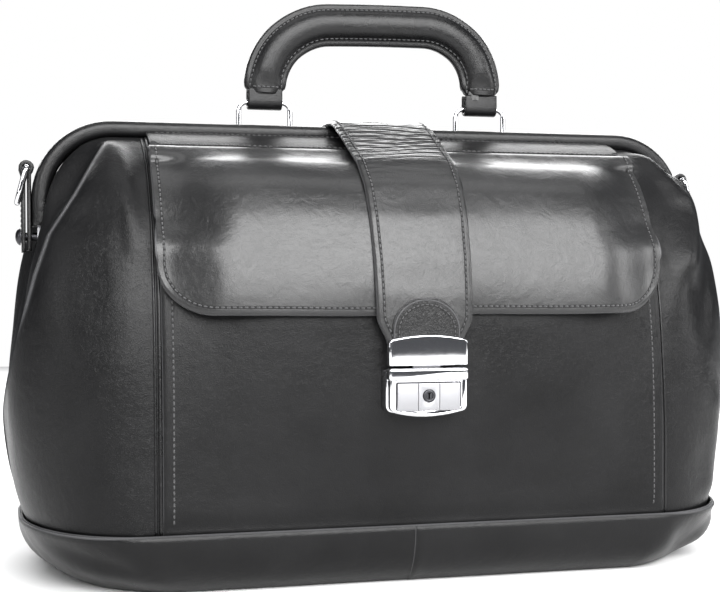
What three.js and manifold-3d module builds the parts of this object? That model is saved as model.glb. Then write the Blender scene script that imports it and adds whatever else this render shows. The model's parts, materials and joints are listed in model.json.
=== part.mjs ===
// A leather doctor bag: a hinged frame mouth, a front pocket with a flap, a closing strap with a
// press lock, a carrying handle on two rings, and a ring on each side.
// Millimetres, +Z up, the front faces -Y. Everything is designed about the hinge line of the mouth
// (design y = 0), and the exported group is shifted so that its origin is at the bottom centre.
import * as THREE from "three";
import { mergeVertices } from "three/addons/utils/BufferGeometryUtils.js";
import Module from "manifold-3d";

const wasm = await Module();
wasm.setup();

// ---- Driving dimensions ----
const ORIGIN_SHIFT_Y = 11.4;
const GAP = 0.4; // between pieces that touch

const leather = 2.2; // thickness of the body leather
const base = { halfWidth: 205, halfDepth: 98, cornerX: 63, cornerY: 84, footX: 174, footY: 76, top: 32 };
const seamX = 142; // the vertical seams of the front and back panels
const CORNER_RUN = 150; // round the body, from the middle of a side to a seam
const hinge = { z: 190 };
const frameBar = { legX: 195.2, topZ: 251.5, corner: 40, thick: 4, nearY: 4.5, farY: 10.5 };
const frameEye = { r: 6, low: 4, high: 7.5, lap: 0.2 };
const frameCover = { thick: 9, nearY: 0.5, farY: 14.5, legEnd: 200 };
const mouthLine = { legX: 191, y: 15.5, topZ: 246.5, corner: 36, legEnd: 201, hingeX: 198, hingeZ: 184 };
const lowerTop = 184; // the fixed leather ends here, and the mouth leather starts above it
const mouthBottom = 197;
// How full the body is: how far its sides lean out, and how steeply its leather leaves the base
// and meets the frame, at the middle of a side (side) and at the front and back (face).
const fullness = { sideLow: 20, lowRise: { side: 46, face: 78 }, sideHigh: { side: 21, face: 34 } };
const mouthDrop = { side: 40, face: 20 };
const shoulders = { front: 86, back: 68 };
const lining = { inset: 3.4, thick: 0.9, top: 168, sideTop: 164 };
const pocket = {
  halfWidth: 140, top: 180, thick: 1.8, baseY: -101.4, bulge: 7, bulgeRise: 85, lean: 4.2, leanFrom: 140,
  flatHalf: 70, standOff: 3.4, gussetLow: 70, gussetThick: 1.6, gussetIn: 2,
};
const flap = { halfWidth: 142, bottom: 145, corner: 27, thick: 2.6 };
const strap = {
  halfWidth: 29.5, lowHalfWidth: 25.5, endHalfWidth: 22.5, straightFrom: 0.86,
  thick: 2.4, over: 3.4, end: 121.5, topZ: 259.4, foldY: 16.4, tailLow: 206, tailOff: 3.6,
};
const lock = { z0: 93.5, z1: 119, halfWidth: 21.5, back: -108.9, front: -120.6 };
const lockWell = { r: 5.8, floor: 2.6 };
const catchNotch = { halfWidth: 9, deep: 7, drop: 2.8 };
const plate = { halfWidth: 17.2, z0: 96.8, z1: 111.2, front: -121.8, thick: 2.6, travel: 2 };
const keyCylinder = {
  r: 3.1, z: 104.5, front: -122.3, long: 8, keyR: 2.2, keyDeep: 5, pinR: 0.8, slitHalf: 0.5, slitRise: 2.8,
};
const hasp = { halfWidth: 20.5, z0: 120.6, z1: 136, thick: 3, arch: 2.4, tongueHalf: 7.5, tongueThick: 1.6 };
const patch = { halfWidth: 17.5, top: 153, thick: 1.6, off: 0.3, roundRise: 16 };
const handle = { x: 68, y: 7.5, width: 25.5, depth: 15, gripZ: 320, corner: 38, legEnd: 276.8, coreR: 5.2 };
const ring = { halfWidth: 15.4, corner: 5.4, wireR: 1.7, lowZ: 254.6, highZ: 269 };
const clip = { halfX: 9, halfY: 5.2, crownR: 2.9, floor: 251.4, plate: 1 };
const handleLoop = { halfX: 11.2, halfY: 4, r: 4.6 };
const WIRE_PLAY = 0.4; // between a ring's wire and what it turns in
const tab = { x0: 200.8, x1: 205.4, halfWidth: 7.6, z0: 181, loopZ: 229, loopR: 4.6 };
const sideRing = { halfWidth: 11.4, corner: 2.4, drop: 20, wireR: 1.7, tilt: 14.5 };
const rivet = { shaftR: 2.4, headR: 5, burrR: 4.2, holeR: 2.8, head: [205.8, 207.6], burr: [190.8, 192.6] };
const FAR = 300; // well outside the bag, for cutting

// ---- Materials ----
const material = (color, roughness, metalness) =>
  new THREE.MeshStandardMaterial({ color, roughness, metalness });
const looks = {
  leather: material(0x1b1b1c, 0.38, 0),
  lining: material(0x2a2a2d, 0.9, 0),
  board: material(0x6b5a45, 0.9, 0),
  foam: material(0x3a3a3a, 0.95, 0),
  chrome: material(0xc9cbd0, 0.12, 1),
  steel: material(0x8a8d92, 0.35, 1),
  brushed: material(0xb4b6ba, 0.3, 1),
};

const bag = new THREE.Group();

// ---- Solids ----
// A closed geometry as a manifold solid, facing out.
function solidFrom(geometry) {
  const bare = geometry.index ? geometry.toNonIndexed() : geometry.clone();
  for (const name of Object.keys(bare.attributes)) {
    if (name !== "position") bare.deleteAttribute(name);
  }
  const merged = mergeVertices(bare, 1e-3);
  const triVerts = new Uint32Array(merged.index.array);
  const vertProperties = merged.attributes.position.array;
  const solid = new wasm.Manifold(new wasm.Mesh({ numProp: 3, vertProperties, triVerts }));
  if (solid.volume() > 0) return solid;
  for (let i = 0; i < triVerts.length; i += 3) {
    [triVerts[i + 1], triVerts[i + 2]] = [triVerts[i + 2], triVerts[i + 1]];
  }
  return new wasm.Manifold(new wasm.Mesh({ numProp: 3, vertProperties, triVerts }));
}

// Adds a solid to the bag as a named mesh.
function add(name, solid, look) {
  const made = solid.getMesh();
  const positions = new Float32Array(made.numVert * 3);
  for (let i = 0; i < made.numVert; i++) {
    positions.set(made.vertProperties.subarray(i * made.numProp, i * made.numProp + 3), i * 3);
  }
  const geometry = new THREE.BufferGeometry()
    .setAttribute("position", new THREE.BufferAttribute(positions, 3))
    .setIndex(new THREE.BufferAttribute(made.triVerts, 1));
  const mesh = new THREE.Mesh(geometry, look);
  mesh.name = name;
  bag.add(mesh);
}

// A sheet of leather: pointAt(u, v) is its outer face, and thick goes to the side that facing names.
function sheet(pointAt, nu, nv, thick, facing) {
  const points = [];
  for (let i = 0; i <= nu; i++) {
    points.push([]);
    for (let j = 0; j <= nv; j++) points[i].push(pointAt(i / nu, j / nv));
  }
  const at = (i, j) =>
    points[Math.min(Math.max(i, 0), nu)][Math.min(Math.max(j, 0), nv)];
  const outer = [];
  const inner = [];
  for (let i = 0; i <= nu; i++) {
    for (let j = 0; j <= nv; j++) {
      const along = at(i + 1, j).clone().sub(at(i - 1, j));
      const across = at(i, j + 1).clone().sub(at(i, j - 1));
      const normal = along.cross(across).normalize().multiplyScalar(facing * thick);
      outer.push(at(i, j));
      inner.push(at(i, j).clone().add(normal));
    }
  }
  const corners = [];
  const quad = (a, b, c, d) => corners.push(a, b, c, a, c, d);
  const k = (i, j) => i * (nv + 1) + j;
  for (let i = 0; i < nu; i++) {
    for (let j = 0; j < nv; j++) {
      quad(outer[k(i, j)], outer[k(i + 1, j)], outer[k(i + 1, j + 1)], outer[k(i, j + 1)]);
      quad(inner[k(i, j)], inner[k(i, j + 1)], inner[k(i + 1, j + 1)], inner[k(i + 1, j)]);
    }
  }
  for (let i = 0; i < nu; i++) {
    quad(outer[k(i, 0)], inner[k(i, 0)], inner[k(i + 1, 0)], outer[k(i + 1, 0)]);
    quad(outer[k(i, nv)], outer[k(i + 1, nv)], inner[k(i + 1, nv)], inner[k(i, nv)]);
  }
  for (let j = 0; j < nv; j++) {
    quad(outer[k(0, j)], outer[k(0, j + 1)], inner[k(0, j + 1)], inner[k(0, j)]);
    quad(outer[k(nu, j)], inner[k(nu, j)], inner[k(nu, j + 1)], outer[k(nu, j + 1)]);
  }
  return solidFrom(new THREE.BufferGeometry().setFromPoints(corners));
}

// A block between two corners.
function block(x0, x1, y0, y1, z0, z1) {
  const box = new THREE.BoxGeometry(x1 - x0, y1 - y0, z1 - z0);
  return solidFrom(box.translate((x0 + x1) / 2, (y0 + y1) / 2, (z0 + z1) / 2));
}

// A round bar between two points along one axis.
function rod(axis, from, to, r, sides = 16) {
  const length = to.clone().sub(from).length();
  const bar = new THREE.CylinderGeometry(r, r, length, sides);
  if (axis === "x") bar.rotateZ(Math.PI / 2);
  if (axis === "z") bar.rotateX(Math.PI / 2);
  const middle = from.clone().add(to).multiplyScalar(0.5);
  return solidFrom(bar.translate(middle.x, middle.y, middle.z));
}

// A flat outline in X and Z, from y0 to y1.
function slab(shape, y0, y1, curveSegments = 6) {
  const made = new THREE.ExtrudeGeometry(shape, {
    depth: y1 - y0,
    bevelEnabled: false,
    curveSegments,
  });
  return solidFrom(made.rotateX(Math.PI / 2).translate(0, y1, 0));
}

// A round bar along an open curve.
function roundBar(curve, r, steps, sides = 8) {
  const section = new THREE.Shape().absarc(0, 0, r, 0, 2 * Math.PI);
  const geometry = new THREE.ExtrudeGeometry(section, {
    steps,
    extrudePath: curve,
    curveSegments: sides / 2,
    bevelEnabled: false,
  });
  return solidFrom(geometry);
}

// A closed loop of round wire, from its centreline, which lies in a plane with this normal.
function ringWire(points, normal, r, sides = 8) {
  const n = points.length;
  const rows = points.map((point, i) => {
    const along = points[(i + 1) % n].clone().sub(points[(i + n - 1) % n]).normalize();
    const out = along.cross(normal).normalize();
    const row = [];
    for (let k = 0; k < sides; k++) {
      const a = (2 * Math.PI * k) / sides;
      row.push(
        point.clone().addScaledVector(out, r * Math.cos(a)).addScaledVector(normal, r * Math.sin(a)),
      );
    }
    return row;
  });
  const corners = [];
  for (let i = 0; i < n; i++) {
    for (let k = 0; k < sides; k++) {
      const [a, b] = [rows[i][k], rows[(i + 1) % n][k]];
      const [c, d] = [rows[(i + 1) % n][(k + 1) % sides], rows[i][(k + 1) % sides]];
      corners.push(a, b, c, a, c, d);
    }
  }
  return solidFrom(new THREE.BufferGeometry().setFromPoints(corners));
}

// ---- Curves of the body ----
const vec = (x, y, z) => new THREE.Vector3(x, y, z);
const mix = (a, b, t) => a + (b - a) * t;
const smooth = (t) => {
  const c = Math.min(Math.max(t, 0), 1);
  return c * c * (3 - 2 * c);
};

// A point at a share of the length of a path made of straight stretches and arcs.
function pathOf(curves) {
  const path = new THREE.CurvePath();
  curves.forEach((curve) => path.add(curve));
  return (t) => path.getPointAt(Math.min(Math.max(t, 0), 1));
}

class Arc3 extends THREE.Curve {
  // A quarter turn about centre, from unit vector a to unit vector b, with a radius along each.
  constructor(centre, a, b, ra, rb = ra) {
    super();
    Object.assign(this, { centre, a, b, ra, rb });
  }
  getPoint(t) {
    const angle = (t * Math.PI) / 2;
    return this.centre.clone()
      .addScaledVector(this.a, this.ra * Math.cos(angle))
      .addScaledVector(this.b, this.rb * Math.sin(angle));
  }
}
const line = (a, b) => new THREE.LineCurve3(a, b);

// The corner stretch of the base seam, from the middle of the right side to the front seam.
const baseCorner = pathOf([
  line(vec(base.halfWidth, 0, base.top), vec(base.halfWidth, -base.halfDepth + base.cornerY, base.top)),
  new Arc3(
    vec(base.halfWidth - base.cornerX, -base.halfDepth + base.cornerY, base.top),
    vec(1, 0, 0), vec(0, -1, 0), base.cornerX, base.cornerY,
  ),
]);
// The same stretch of the mouth line, where the leather meets the frame.
const mouthCorner = pathOf([
  line(vec(mouthLine.hingeX, 0, mouthLine.hingeZ), vec(mouthLine.legX, -mouthLine.y, mouthLine.legEnd)),
  line(
    vec(mouthLine.legX, -mouthLine.y, mouthLine.legEnd),
    vec(mouthLine.legX, -mouthLine.y, mouthLine.topZ - mouthLine.corner),
  ),
  new Arc3(
    vec(mouthLine.legX - mouthLine.corner, -mouthLine.y, mouthLine.topZ - mouthLine.corner),
    vec(1, 0, 0), vec(0, 0, 1), mouthLine.corner,
  ),
  line(
    vec(mouthLine.legX - mouthLine.corner, -mouthLine.y, mouthLine.topZ),
    vec(seamX, -mouthLine.y, mouthLine.topZ),
  ),
]);

const bezier = (a, b, c, d, t) => {
  const s = 1 - t;
  return a.clone().multiplyScalar(s * s * s)
    .addScaledVector(b, 3 * s * s * t)
    .addScaledVector(c, 3 * s * t * t)
    .addScaledVector(d, t * t * t);
};

// The body's outer face on its front right quarter. t goes from the side's middle (0) to the front
// seam (1), and v from the base seam (0) to the mouth (1). shoulder is how square the top is.
function cornerPoint(t, v, shoulder) {
  const low = baseCorner(t);
  const high = mouthCorner(t);
  const forward = smooth(t / 0.85);
  const side = 1 - smooth((t - 0.25) / 0.62);
  const { sideLow, lowRise, sideHigh } = fullness;
  const rise = mix(lowRise.side, lowRise.face, forward);
  const lowTangent = vec(low.x + sideLow * side, low.y + forward, low.z + rise);
  const highTangent = vec(
    high.x + mix(sideHigh.side, sideHigh.face, forward) * side,
    high.y - shoulder * forward,
    high.z - mix(mouthDrop.side, mouthDrop.face, forward),
  );
  return bezier(low, lowTangent, highTangent, high, v);
}

// The body's outer face between its seams, at this x.
function panelPoint(x, v, shoulder) {
  const edge = cornerPoint(1, v, shoulder);
  return vec(x, edge.y, edge.z);
}

// The share of the way up where a profile reaches this height.
function shareAt(profile, z) {
  let [low, high] = [0, 1];
  for (let i = 0; i < 24; i++) {
    const middle = (low + high) / 2;
    if (profile(middle).z < z) low = middle;
    else high = middle;
  }
  return low;
}

// ---- The base ----
// A flat piece inside the lower edge of the band, drawn in by this much all round.
function floorPiece(inset, z0, z1) {
  const points = [];
  const steps = 12;
  const quarters = [[1, 1, true], [1, -1, false], [-1, -1, true], [-1, 1, false]];
  for (const [sx, sy, towardsSide] of quarters) {
    const count = towardsSide ? steps : steps + 1;
    for (let i = 0; i < count; i++) {
      const p = baseCorner(towardsSide ? 1 - i / steps : i / steps);
      points.push(new THREE.Vector2(
        (sx * p.x * (base.footX - inset)) / base.halfWidth,
        (sy * p.y * (base.footY - inset)) / base.halfDepth,
      ));
    }
  }
  const shape = new THREE.Shape(points);
  const made = new THREE.ExtrudeGeometry(shape, { depth: z1 - z0, bevelEnabled: false });
  return solidFrom(made.translate(0, 0, z0));
}
const bandProud = 1.6; // the band stands this far outside the body
// The right half of the base band: u runs from the back, round the side, to the front.
function bandPoint(u, w, side) {
  const front = u > 0.5;
  const walk = front ? 2 * u - 1 : 1 - 2 * u;
  const straight = 0.48; // the share of each quarter that lies on the front or back
  const corner = walk < 1 - straight
    ? baseCorner(walk / (1 - straight))
    : vec(mix(seamX, GAP / 2, (walk - 1 + straight) / straight), -base.halfDepth, base.top);
  const angle = (w * Math.PI) / 2;
  const shrinkX = 1 - (1 - base.footX / base.halfWidth) * (1 - Math.sin(angle));
  const shrinkY = 1 - (1 - base.footY / base.halfDepth) * (1 - Math.sin(angle));
  const proud = bandProud * Math.sin(angle);
  const outX = corner.x * shrinkX + (proud * Math.max(corner.x - seamX, 0)) / (base.halfWidth - seamX);
  const outY = corner.y * shrinkY + (proud * corner.y) / base.halfDepth;
  const x = corner.x < 1 ? corner.x : outX;
  return vec(side * x, (front ? 1 : -1) * outY, base.top * (1 - Math.cos(angle)));
}
function buildBase() {
  const layers = [
    ["bottom_panel", 2, 0, 2.4, looks.leather],
    ["base_board", 3, 2.8, 5.8, looks.board],
    ["lining_floor", 4, 6.2, 7.2, looks.lining],
  ];
  for (const [name, inset, z0, z1, look] of layers) add(name, floorPiece(inset, z0, z1), look);
  for (const [name, side] of [["left", -1], ["right", 1]]) {
    const band = sheet((u, w) => bandPoint(u, w, side), 22, 4, leather, side);
    add(`base_band_${name}`, band, looks.leather);
  }
}

// ---- The leather body ----
// A side panel goes from the front seam, round the side, to the back seam, up to a height.
function sidePoint(u, w, side, inset, z0, z1) {
  const s = 2 * u - 1;
  const t = Math.abs(s) * (1 - GAP / CORNER_RUN);
  const shoulder = s < 0 ? shoulders.front : shoulders.back;
  const profile = (v) => cornerPoint(t, v, shoulder);
  const point = profile(mix(shareAt(profile, z0), shareAt(profile, z1), w));
  const inX = inset * (1 - smooth((t - 0.55) / 0.35));
  const inY = inset * smooth((t - 0.3) / 0.4);
  return vec(side * (point.x - inX), (s < 0 ? 1 : -1) * (point.y + inY), point.z);
}
function panelSheet(halfWidth, shoulder, back, inset, z0, z1, nu, nv, thick) {
  const profile = (v) => cornerPoint(1, v, shoulder);
  const [v0, v1] = [shareAt(profile, z0), shareAt(profile, z1)];
  return sheet((u, w) => {
    const point = panelPoint(mix(-halfWidth, halfWidth, u), mix(v0, v1, w), shoulder);
    return vec(point.x, (point.y + inset) * (back ? -1 : 1), point.z);
  }, nu, nv, thick, back ? 1 : -1);
}
function buildBody() {
  const bottom = base.top + 2 * GAP;
  for (const [name, shoulder, back] of [["front", shoulders.front, false], ["back", shoulders.back, true]]) {
    const wall = panelSheet(seamX - GAP, shoulder, back, 0, bottom, lowerTop, 4, 6, leather);
    const cloth = panelSheet(seamX - 4, shoulder, back, lining.inset, bottom, lining.top, 4, 5, lining.thick);
    add(`${name}_panel`, wall, looks.leather);
    add(`lining_${name}`, cloth, looks.lining);
  }
  for (const [name, side] of [["left", -1], ["right", 1]]) {
    // The side is a little lower at its middle, below the hinge.
    const top = (u) => mix(lowerTop - 6, lowerTop, smooth(Math.abs(2 * u - 1) / 0.4));
    const wall = (u, w) => sidePoint(u, w, side, 0, bottom, top(u));
    const cloth = (u, w) => sidePoint(mix(0.04, 0.96, u), w, side, lining.inset, bottom, lining.sideTop);
    add(`side_panel_${name}`, sheet(wall, 24, 5, leather, -side), looks.leather);
    add(`lining_${name}`, sheet(cloth, 18, 4, lining.thick, -side), looks.lining);
  }
}

// The leather of one half of the mouth, from leg to leg of its frame.
function mouthSheet(shoulder, back) {
  const firstT = 0.3; // the leather is cut away beside the hinge
  const cornerShare = 0.24;
  return sheet((u, w) => {
    const left = u < 0.5;
    const walk = 1 - 2 * Math.abs(u - 0.5);
    const onCorner = walk < 2 * cornerShare;
    const t = onCorner ? mix(firstT, 1, walk / (2 * cornerShare)) : 1;
    const profile = (v) => cornerPoint(t, v, shoulder);
    const low = shareAt(profile, mix(mouthBottom + 6, mouthBottom, smooth((t - firstT) / 0.4)));
    const point = profile(mix(low, 1, w));
    const x = onCorner ? point.x : mix(seamX, 0, (walk - 2 * cornerShare) / (1 - 2 * cornerShare));
    return vec(left ? -x : x, back ? -point.y : point.y, point.z);
  }, 28, 5, leather, back ? 1 : -1);
}

// ---- The frame ----
// The outline, in X and Z, of an upside-down U bar this wide on each side of its middle line.
function barShape(legX, topZ, corner, half, legEnd) {
  const shape = new THREE.Shape();
  const cx = legX - corner;
  const cz = topZ - corner;
  shape.moveTo(legX + half, legEnd);
  shape.lineTo(legX + half, cz);
  shape.absarc(cx, cz, corner + half, 0, Math.PI / 2);
  shape.lineTo(-cx, topZ + half);
  shape.absarc(-cx, cz, corner + half, Math.PI / 2, Math.PI);
  shape.lineTo(-legX - half, legEnd);
  shape.lineTo(-legX + half, legEnd);
  shape.lineTo(-legX + half, cz);
  shape.absarc(-cx, cz, corner - half, Math.PI, Math.PI / 2, true);
  shape.lineTo(cx, topZ - half);
  shape.absarc(cx, cz, corner - half, Math.PI / 2, 0, true);
  shape.lineTo(legX - half, legEnd);
  return shape;
}
const uBar = (half, legEnd, y0, y1) =>
  slab(barShape(frameBar.legX, frameBar.topZ, frameBar.corner, half, legEnd), y0, y1);

// A frame bar with a half-lapped eye at the end of each leg, around the hinge line.
function frameBarSolid(back) {
  const [y0, y1] = back ? [frameBar.nearY, frameBar.farY] : [-frameBar.farY, -frameBar.nearY];
  const half = frameBar.thick / 2;
  let solid = uBar(half, hinge.z + frameEye.high - 0.5, y0, y1);
  for (const side of [-1, 1]) {
    const { legX } = frameBar;
    const [x0, x1] = back ? [legX - half, legX - frameEye.lap] : [legX + frameEye.lap, legX + half];
    const [a, b] = side < 0 ? [-x1, -x0] : [x0, x1];
    const [z0, z1] = [hinge.z - frameEye.low, hinge.z + frameEye.high];
    const foot = block(a, b, back ? 0 : y0, back ? y1 : 0, z0, z1);
    const eye = rod("x", vec(a, 0, hinge.z), vec(b, 0, hinge.z), frameEye.r, 20);
    const hole = rod("x", vec(a - 1, 0, hinge.z), vec(b + 1, 0, hinge.z), rivet.holeR, 20);
    solid = solid.add(foot).add(eye).subtract(hole);
  }
  return solid;
}
function frameCoverSolid(back) {
  const [y0, y1] = back ? [frameCover.nearY, frameCover.farY] : [-frameCover.farY, -frameCover.nearY];
  const [b0, b1] = back ? [frameBar.nearY, frameBar.farY] : [-frameBar.farY, -frameBar.nearY];
  const outer = uBar(frameCover.thick / 2, frameCover.legEnd, y0, y1);
  const channel = uBar(frameBar.thick / 2 + GAP, frameCover.legEnd - 2, b0 - GAP, b1 + GAP);
  return outer.subtract(channel);
}
// The clip that holds a handle ring down in its seat on the back half of the frame.
function saddle(x) {
  const { halfX, halfY, crownR } = clip;
  const y = handle.y;
  const low = clip.floor;
  const [x0, x1] = [x - halfX, x + halfX];
  const foot = block(x0, x1, y - halfY, y + halfY, low, low + clip.plate);
  const neck = block(x0, x1, y - crownR, y + crownR, low, ring.lowZ);
  const crown = rod("x", vec(x0, y, ring.lowZ), vec(x1, y, ring.lowZ), crownR, 16);
  const hole = rod("x", vec(x0 - 1, y, ring.lowZ), vec(x1 + 1, y, ring.lowZ), ring.wireR + WIRE_PLAY, 12);
  return foot.add(neck).add(crown).subtract(hole);
}
// Cuts the seats of the handle rings and their clips into the top of a piece of the frame.
function withRingSeats(solid) {
  const reach = ring.halfWidth + ring.wireR + 1;
  const [y0, y1] = [handle.y - clip.halfY - GAP, handle.y + clip.halfY + GAP];
  const seat = (x) => block(x - reach, x + reach, y0, y1, clip.floor - GAP / 2, FAR);
  return solid.subtract(seat(-handle.x)).subtract(seat(handle.x));
}
function buildFrame() {
  add("front_frame_bar", frameBarSolid(false), looks.steel);
  add("back_frame_bar", withRingSeats(frameBarSolid(true)), looks.steel);
  add("front_frame_cover", frameCoverSolid(false), looks.leather);
  add("back_frame_cover", withRingSeats(frameCoverSolid(true)), looks.leather);
  add("front_mouth_leather", mouthSheet(shoulders.front, false), looks.leather);
  add("back_mouth_leather", mouthSheet(shoulders.back, true), looks.leather);
  add("handle_saddle_left", saddle(-handle.x), looks.chrome);
  add("handle_saddle_right", saddle(handle.x), looks.chrome);
  for (const [name, side] of [["left", -1], ["right", 1]]) {
    const at = (x) => vec(side * x, 0, hinge.z);
    const shaft = rod("x", at(rivet.burr[0] + 1), at(rivet.head[1] - 1), rivet.shaftR);
    const cap = rod("x", at(rivet.head[0]), at(rivet.head[1]), rivet.headR);
    const burr = rod("x", at(rivet.burr[0]), at(rivet.burr[1]), rivet.burrR);
    add(`hinge_rivet_${name}`, shaft.add(cap).add(burr), looks.chrome);
  }
}

// ---- The front pocket and its flap ----
const frontY = (z) => {
  const profile = (v) => cornerPoint(1, v, shoulders.front);
  return profile(shareAt(profile, z)).y;
};
// The outer face of the pocket's front, full in the middle and drawn in towards its sides.
function pocketY(x, z) {
  const fill = pocket.bulge * smooth((z - base.top) / pocket.bulgeRise);
  const leanIn = pocket.lean * smooth((z - pocket.leanFrom) / (pocket.top - pocket.leanFrom));
  const middle = pocket.baseY - fill + leanIn;
  const edge = Math.min(frontY(z) - leather - pocket.standOff, pocket.baseY);
  const outward = smooth((Math.abs(x) - pocket.flatHalf) / (pocket.halfWidth - pocket.flatHalf));
  return mix(middle, Math.max(edge, middle), outward);
}
function buildPocket() {
  const bottom = base.top + 2 * GAP;
  add(
    "pocket_front",
    sheet((u, w) => {
      const x = mix(-pocket.halfWidth, pocket.halfWidth, u);
      const z = mix(bottom, pocket.top, w);
      return vec(x, pocketY(x, z), z);
    }, 12, 7, pocket.thick, -1),
    looks.leather,
  );
  for (const [name, side] of [["left", -1], ["right", 1]]) {
    const x = side * (pocket.halfWidth - pocket.gussetIn);
    const sideWall = sheet((u, w) => {
      const z = mix(pocket.gussetLow, pocket.top, w);
      const inner = frontY(z) - 2 * GAP;
      const outer = pocketY(pocket.halfWidth, z) + pocket.thick + 2 * GAP;
      return vec(x, mix(outer, inner, u), z);
    }, 1, 6, pocket.gussetThick, side);
    add(`pocket_gusset_${name}`, sideWall, looks.leather);
  }
}
// A smooth side profile through points given as (y, z), by the share of its length.
function profileThrough(points) {
  const curve = new THREE.CatmullRomCurve3(points.map(([y, z]) => vec(0, y, z)));
  return { at: (v) => curve.getPointAt(Math.min(Math.max(v, 0), 1)), length: curve.getLength() };
}
// The flap's side profile, from its stitched top edge over its shoulder to its free edge.
const flapLine = profileThrough([
  [-43.5, 238.2], [-48, 238.2], [-62, 234], [-78, 227], [-91.5, 215.5], [-101.5, 198.5], [-108.8, 176],
  [-111.6, 158], [-112.4, flap.bottom],
]);
// How far down its profile the flap reaches at this x: its lower corners are rounded.
const flapEnd = (x) => {
  const past = Math.max(Math.abs(x) - (flap.halfWidth - flap.corner), 0);
  const rise = flap.corner - Math.sqrt(Math.max(flap.corner ** 2 - past ** 2, 0));
  return 1 - rise / flapLine.length;
};
function buildFlap() {
  // The rows lie closer together near the rounded corners.
  const crowd = 0.98;
  const width = (u) =>
    (flap.halfWidth * Math.sin((u - 0.5) * Math.PI * crowd)) / Math.sin((Math.PI * crowd) / 2);
  add(
    "pocket_flap",
    sheet((u, w) => {
      const x = width(u);
      const point = flapLine.at(w * flapEnd(x));
      return vec(x, point.y, point.z);
    }, 20, 9, flap.thick, 1),
    looks.leather,
  );
}

// ---- The closing strap ----
const strapFaceY = -112.4 - strap.over; // the outer face of the strap's straight end
function strapWidth(w) {
  const split = strap.straightFrom;
  const taper = mix(strap.halfWidth, strap.lowHalfWidth, w / split);
  return mix(taper, strap.endHalfWidth, smooth((w - split) / (1 - split)));
}
// The side profile of the front strap's outer face: off the frame, over the flap, down to the hasp.
const strapLine = profileThrough([
  [-strap.foldY, strap.topZ], [-26, 257.6], [-42, 250], [-60, 240.6], [-80, 231], [-94.8, 217.6],
  [-104.9, 199.6], [-112.2, 176.6], [-115, 158.4], [strapFaceY, flap.bottom], [strapFaceY, 133],
  [strapFaceY, strap.end],
]);
function buildStrap() {
  const z = strap.topZ;
  const reach = strap.foldY - 2 * GAP;
  const across = (u) => mix(-strap.halfWidth, strap.halfWidth, u);
  add(
    "strap_top",
    sheet((u, w) => vec(across(u), mix(reach, -reach, w), z), 4, 6, strap.thick, 1),
    looks.leather,
  );
  add(
    "strap_front",
    sheet((u, w) => {
      const point = strapLine.at(w);
      return vec(mix(-1, 1, u) * strapWidth(w), point.y, point.z);
    }, 4, 22, strap.thick, 1),
    looks.leather,
  );
  add(
    "strap_tail",
    sheet((u, w) => {
      const profile = (v) => cornerPoint(1, v, shoulders.back);
      const v = mix(0.985, shareAt(profile, strap.tailLow), w);
      const point = profile(v);
      const step = profile(v - 0.01).sub(profile(v + 0.01)).normalize();
      const lift = mix(z - point.z - 1, 0, smooth(w / 0.16));
      const out = Math.abs(step.z) * strap.tailOff;
      const up = Math.abs(step.y) * strap.tailOff;
      return vec(across(u), out - point.y, point.z + up + lift * 0.97);
    }, 4, 10, strap.thick, -1),
    looks.leather,
  );
}

// ---- The press lock ----
function buildLock() {
  const { halfWidth: w, front, back, z0, z1 } = lock;
  const body = block(-w, w, front, back, z0, z1);
  const plateBack = plate.front + plate.thick;
  const [p0, p1] = [plate.z0 - GAP - plate.travel, plate.z1 + GAP];
  const recess = block(-plate.halfWidth - GAP, plate.halfWidth + GAP, front - 5, plateBack + GAP, p0, p1);
  const { halfWidth: notchHalf, deep, drop } = catchNotch;
  const notch = block(-notchHalf, notchHalf, front - 3, front + deep, z1 - drop, z1 + 3);
  // A round bar about the key's axis, between two depths.
  const onKey = (y) => vec(0, y, keyCylinder.z);
  const about = (y0, y1, r, sides) => rod("y", onKey(y0), onKey(y1), r, sides);
  const well = about(plate.front, back - lockWell.floor, lockWell.r);
  add("lock_body", body.subtract(recess).subtract(notch).subtract(well), looks.chrome);

  const button = block(-plate.halfWidth, plate.halfWidth, plate.front, plateBack, plate.z0, plate.z1);
  const bore = about(plate.front - 2, plateBack + 3, keyCylinder.r + GAP);
  add("push_plate", button.subtract(bore), looks.brushed);
  const barrel = about(keyCylinder.front, plate.front + keyCylinder.long, keyCylinder.r);
  const keyway = about(keyCylinder.front - 1, plate.front + keyCylinder.keyDeep, keyCylinder.keyR, 12);
  const pin = about(keyCylinder.front + 0.4, plate.front + keyCylinder.long - 1, keyCylinder.pinR, 10);
  const slit = block(
    -keyCylinder.slitHalf, keyCylinder.slitHalf, keyCylinder.front - 1, plate.front + keyCylinder.keyDeep,
    keyCylinder.z, keyCylinder.z + keyCylinder.slitRise,
  );
  add("key_cylinder", barrel.subtract(keyway).add(pin).subtract(slit), looks.steel);
  const inside = pocketY(0, z0) + pocket.thick + GAP + 0.3;
  add("lock_backplate", block(-w + 1, w - 1, inside, inside + 1.2, z0 + 1, z1 - 1), looks.steel);
}
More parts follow.
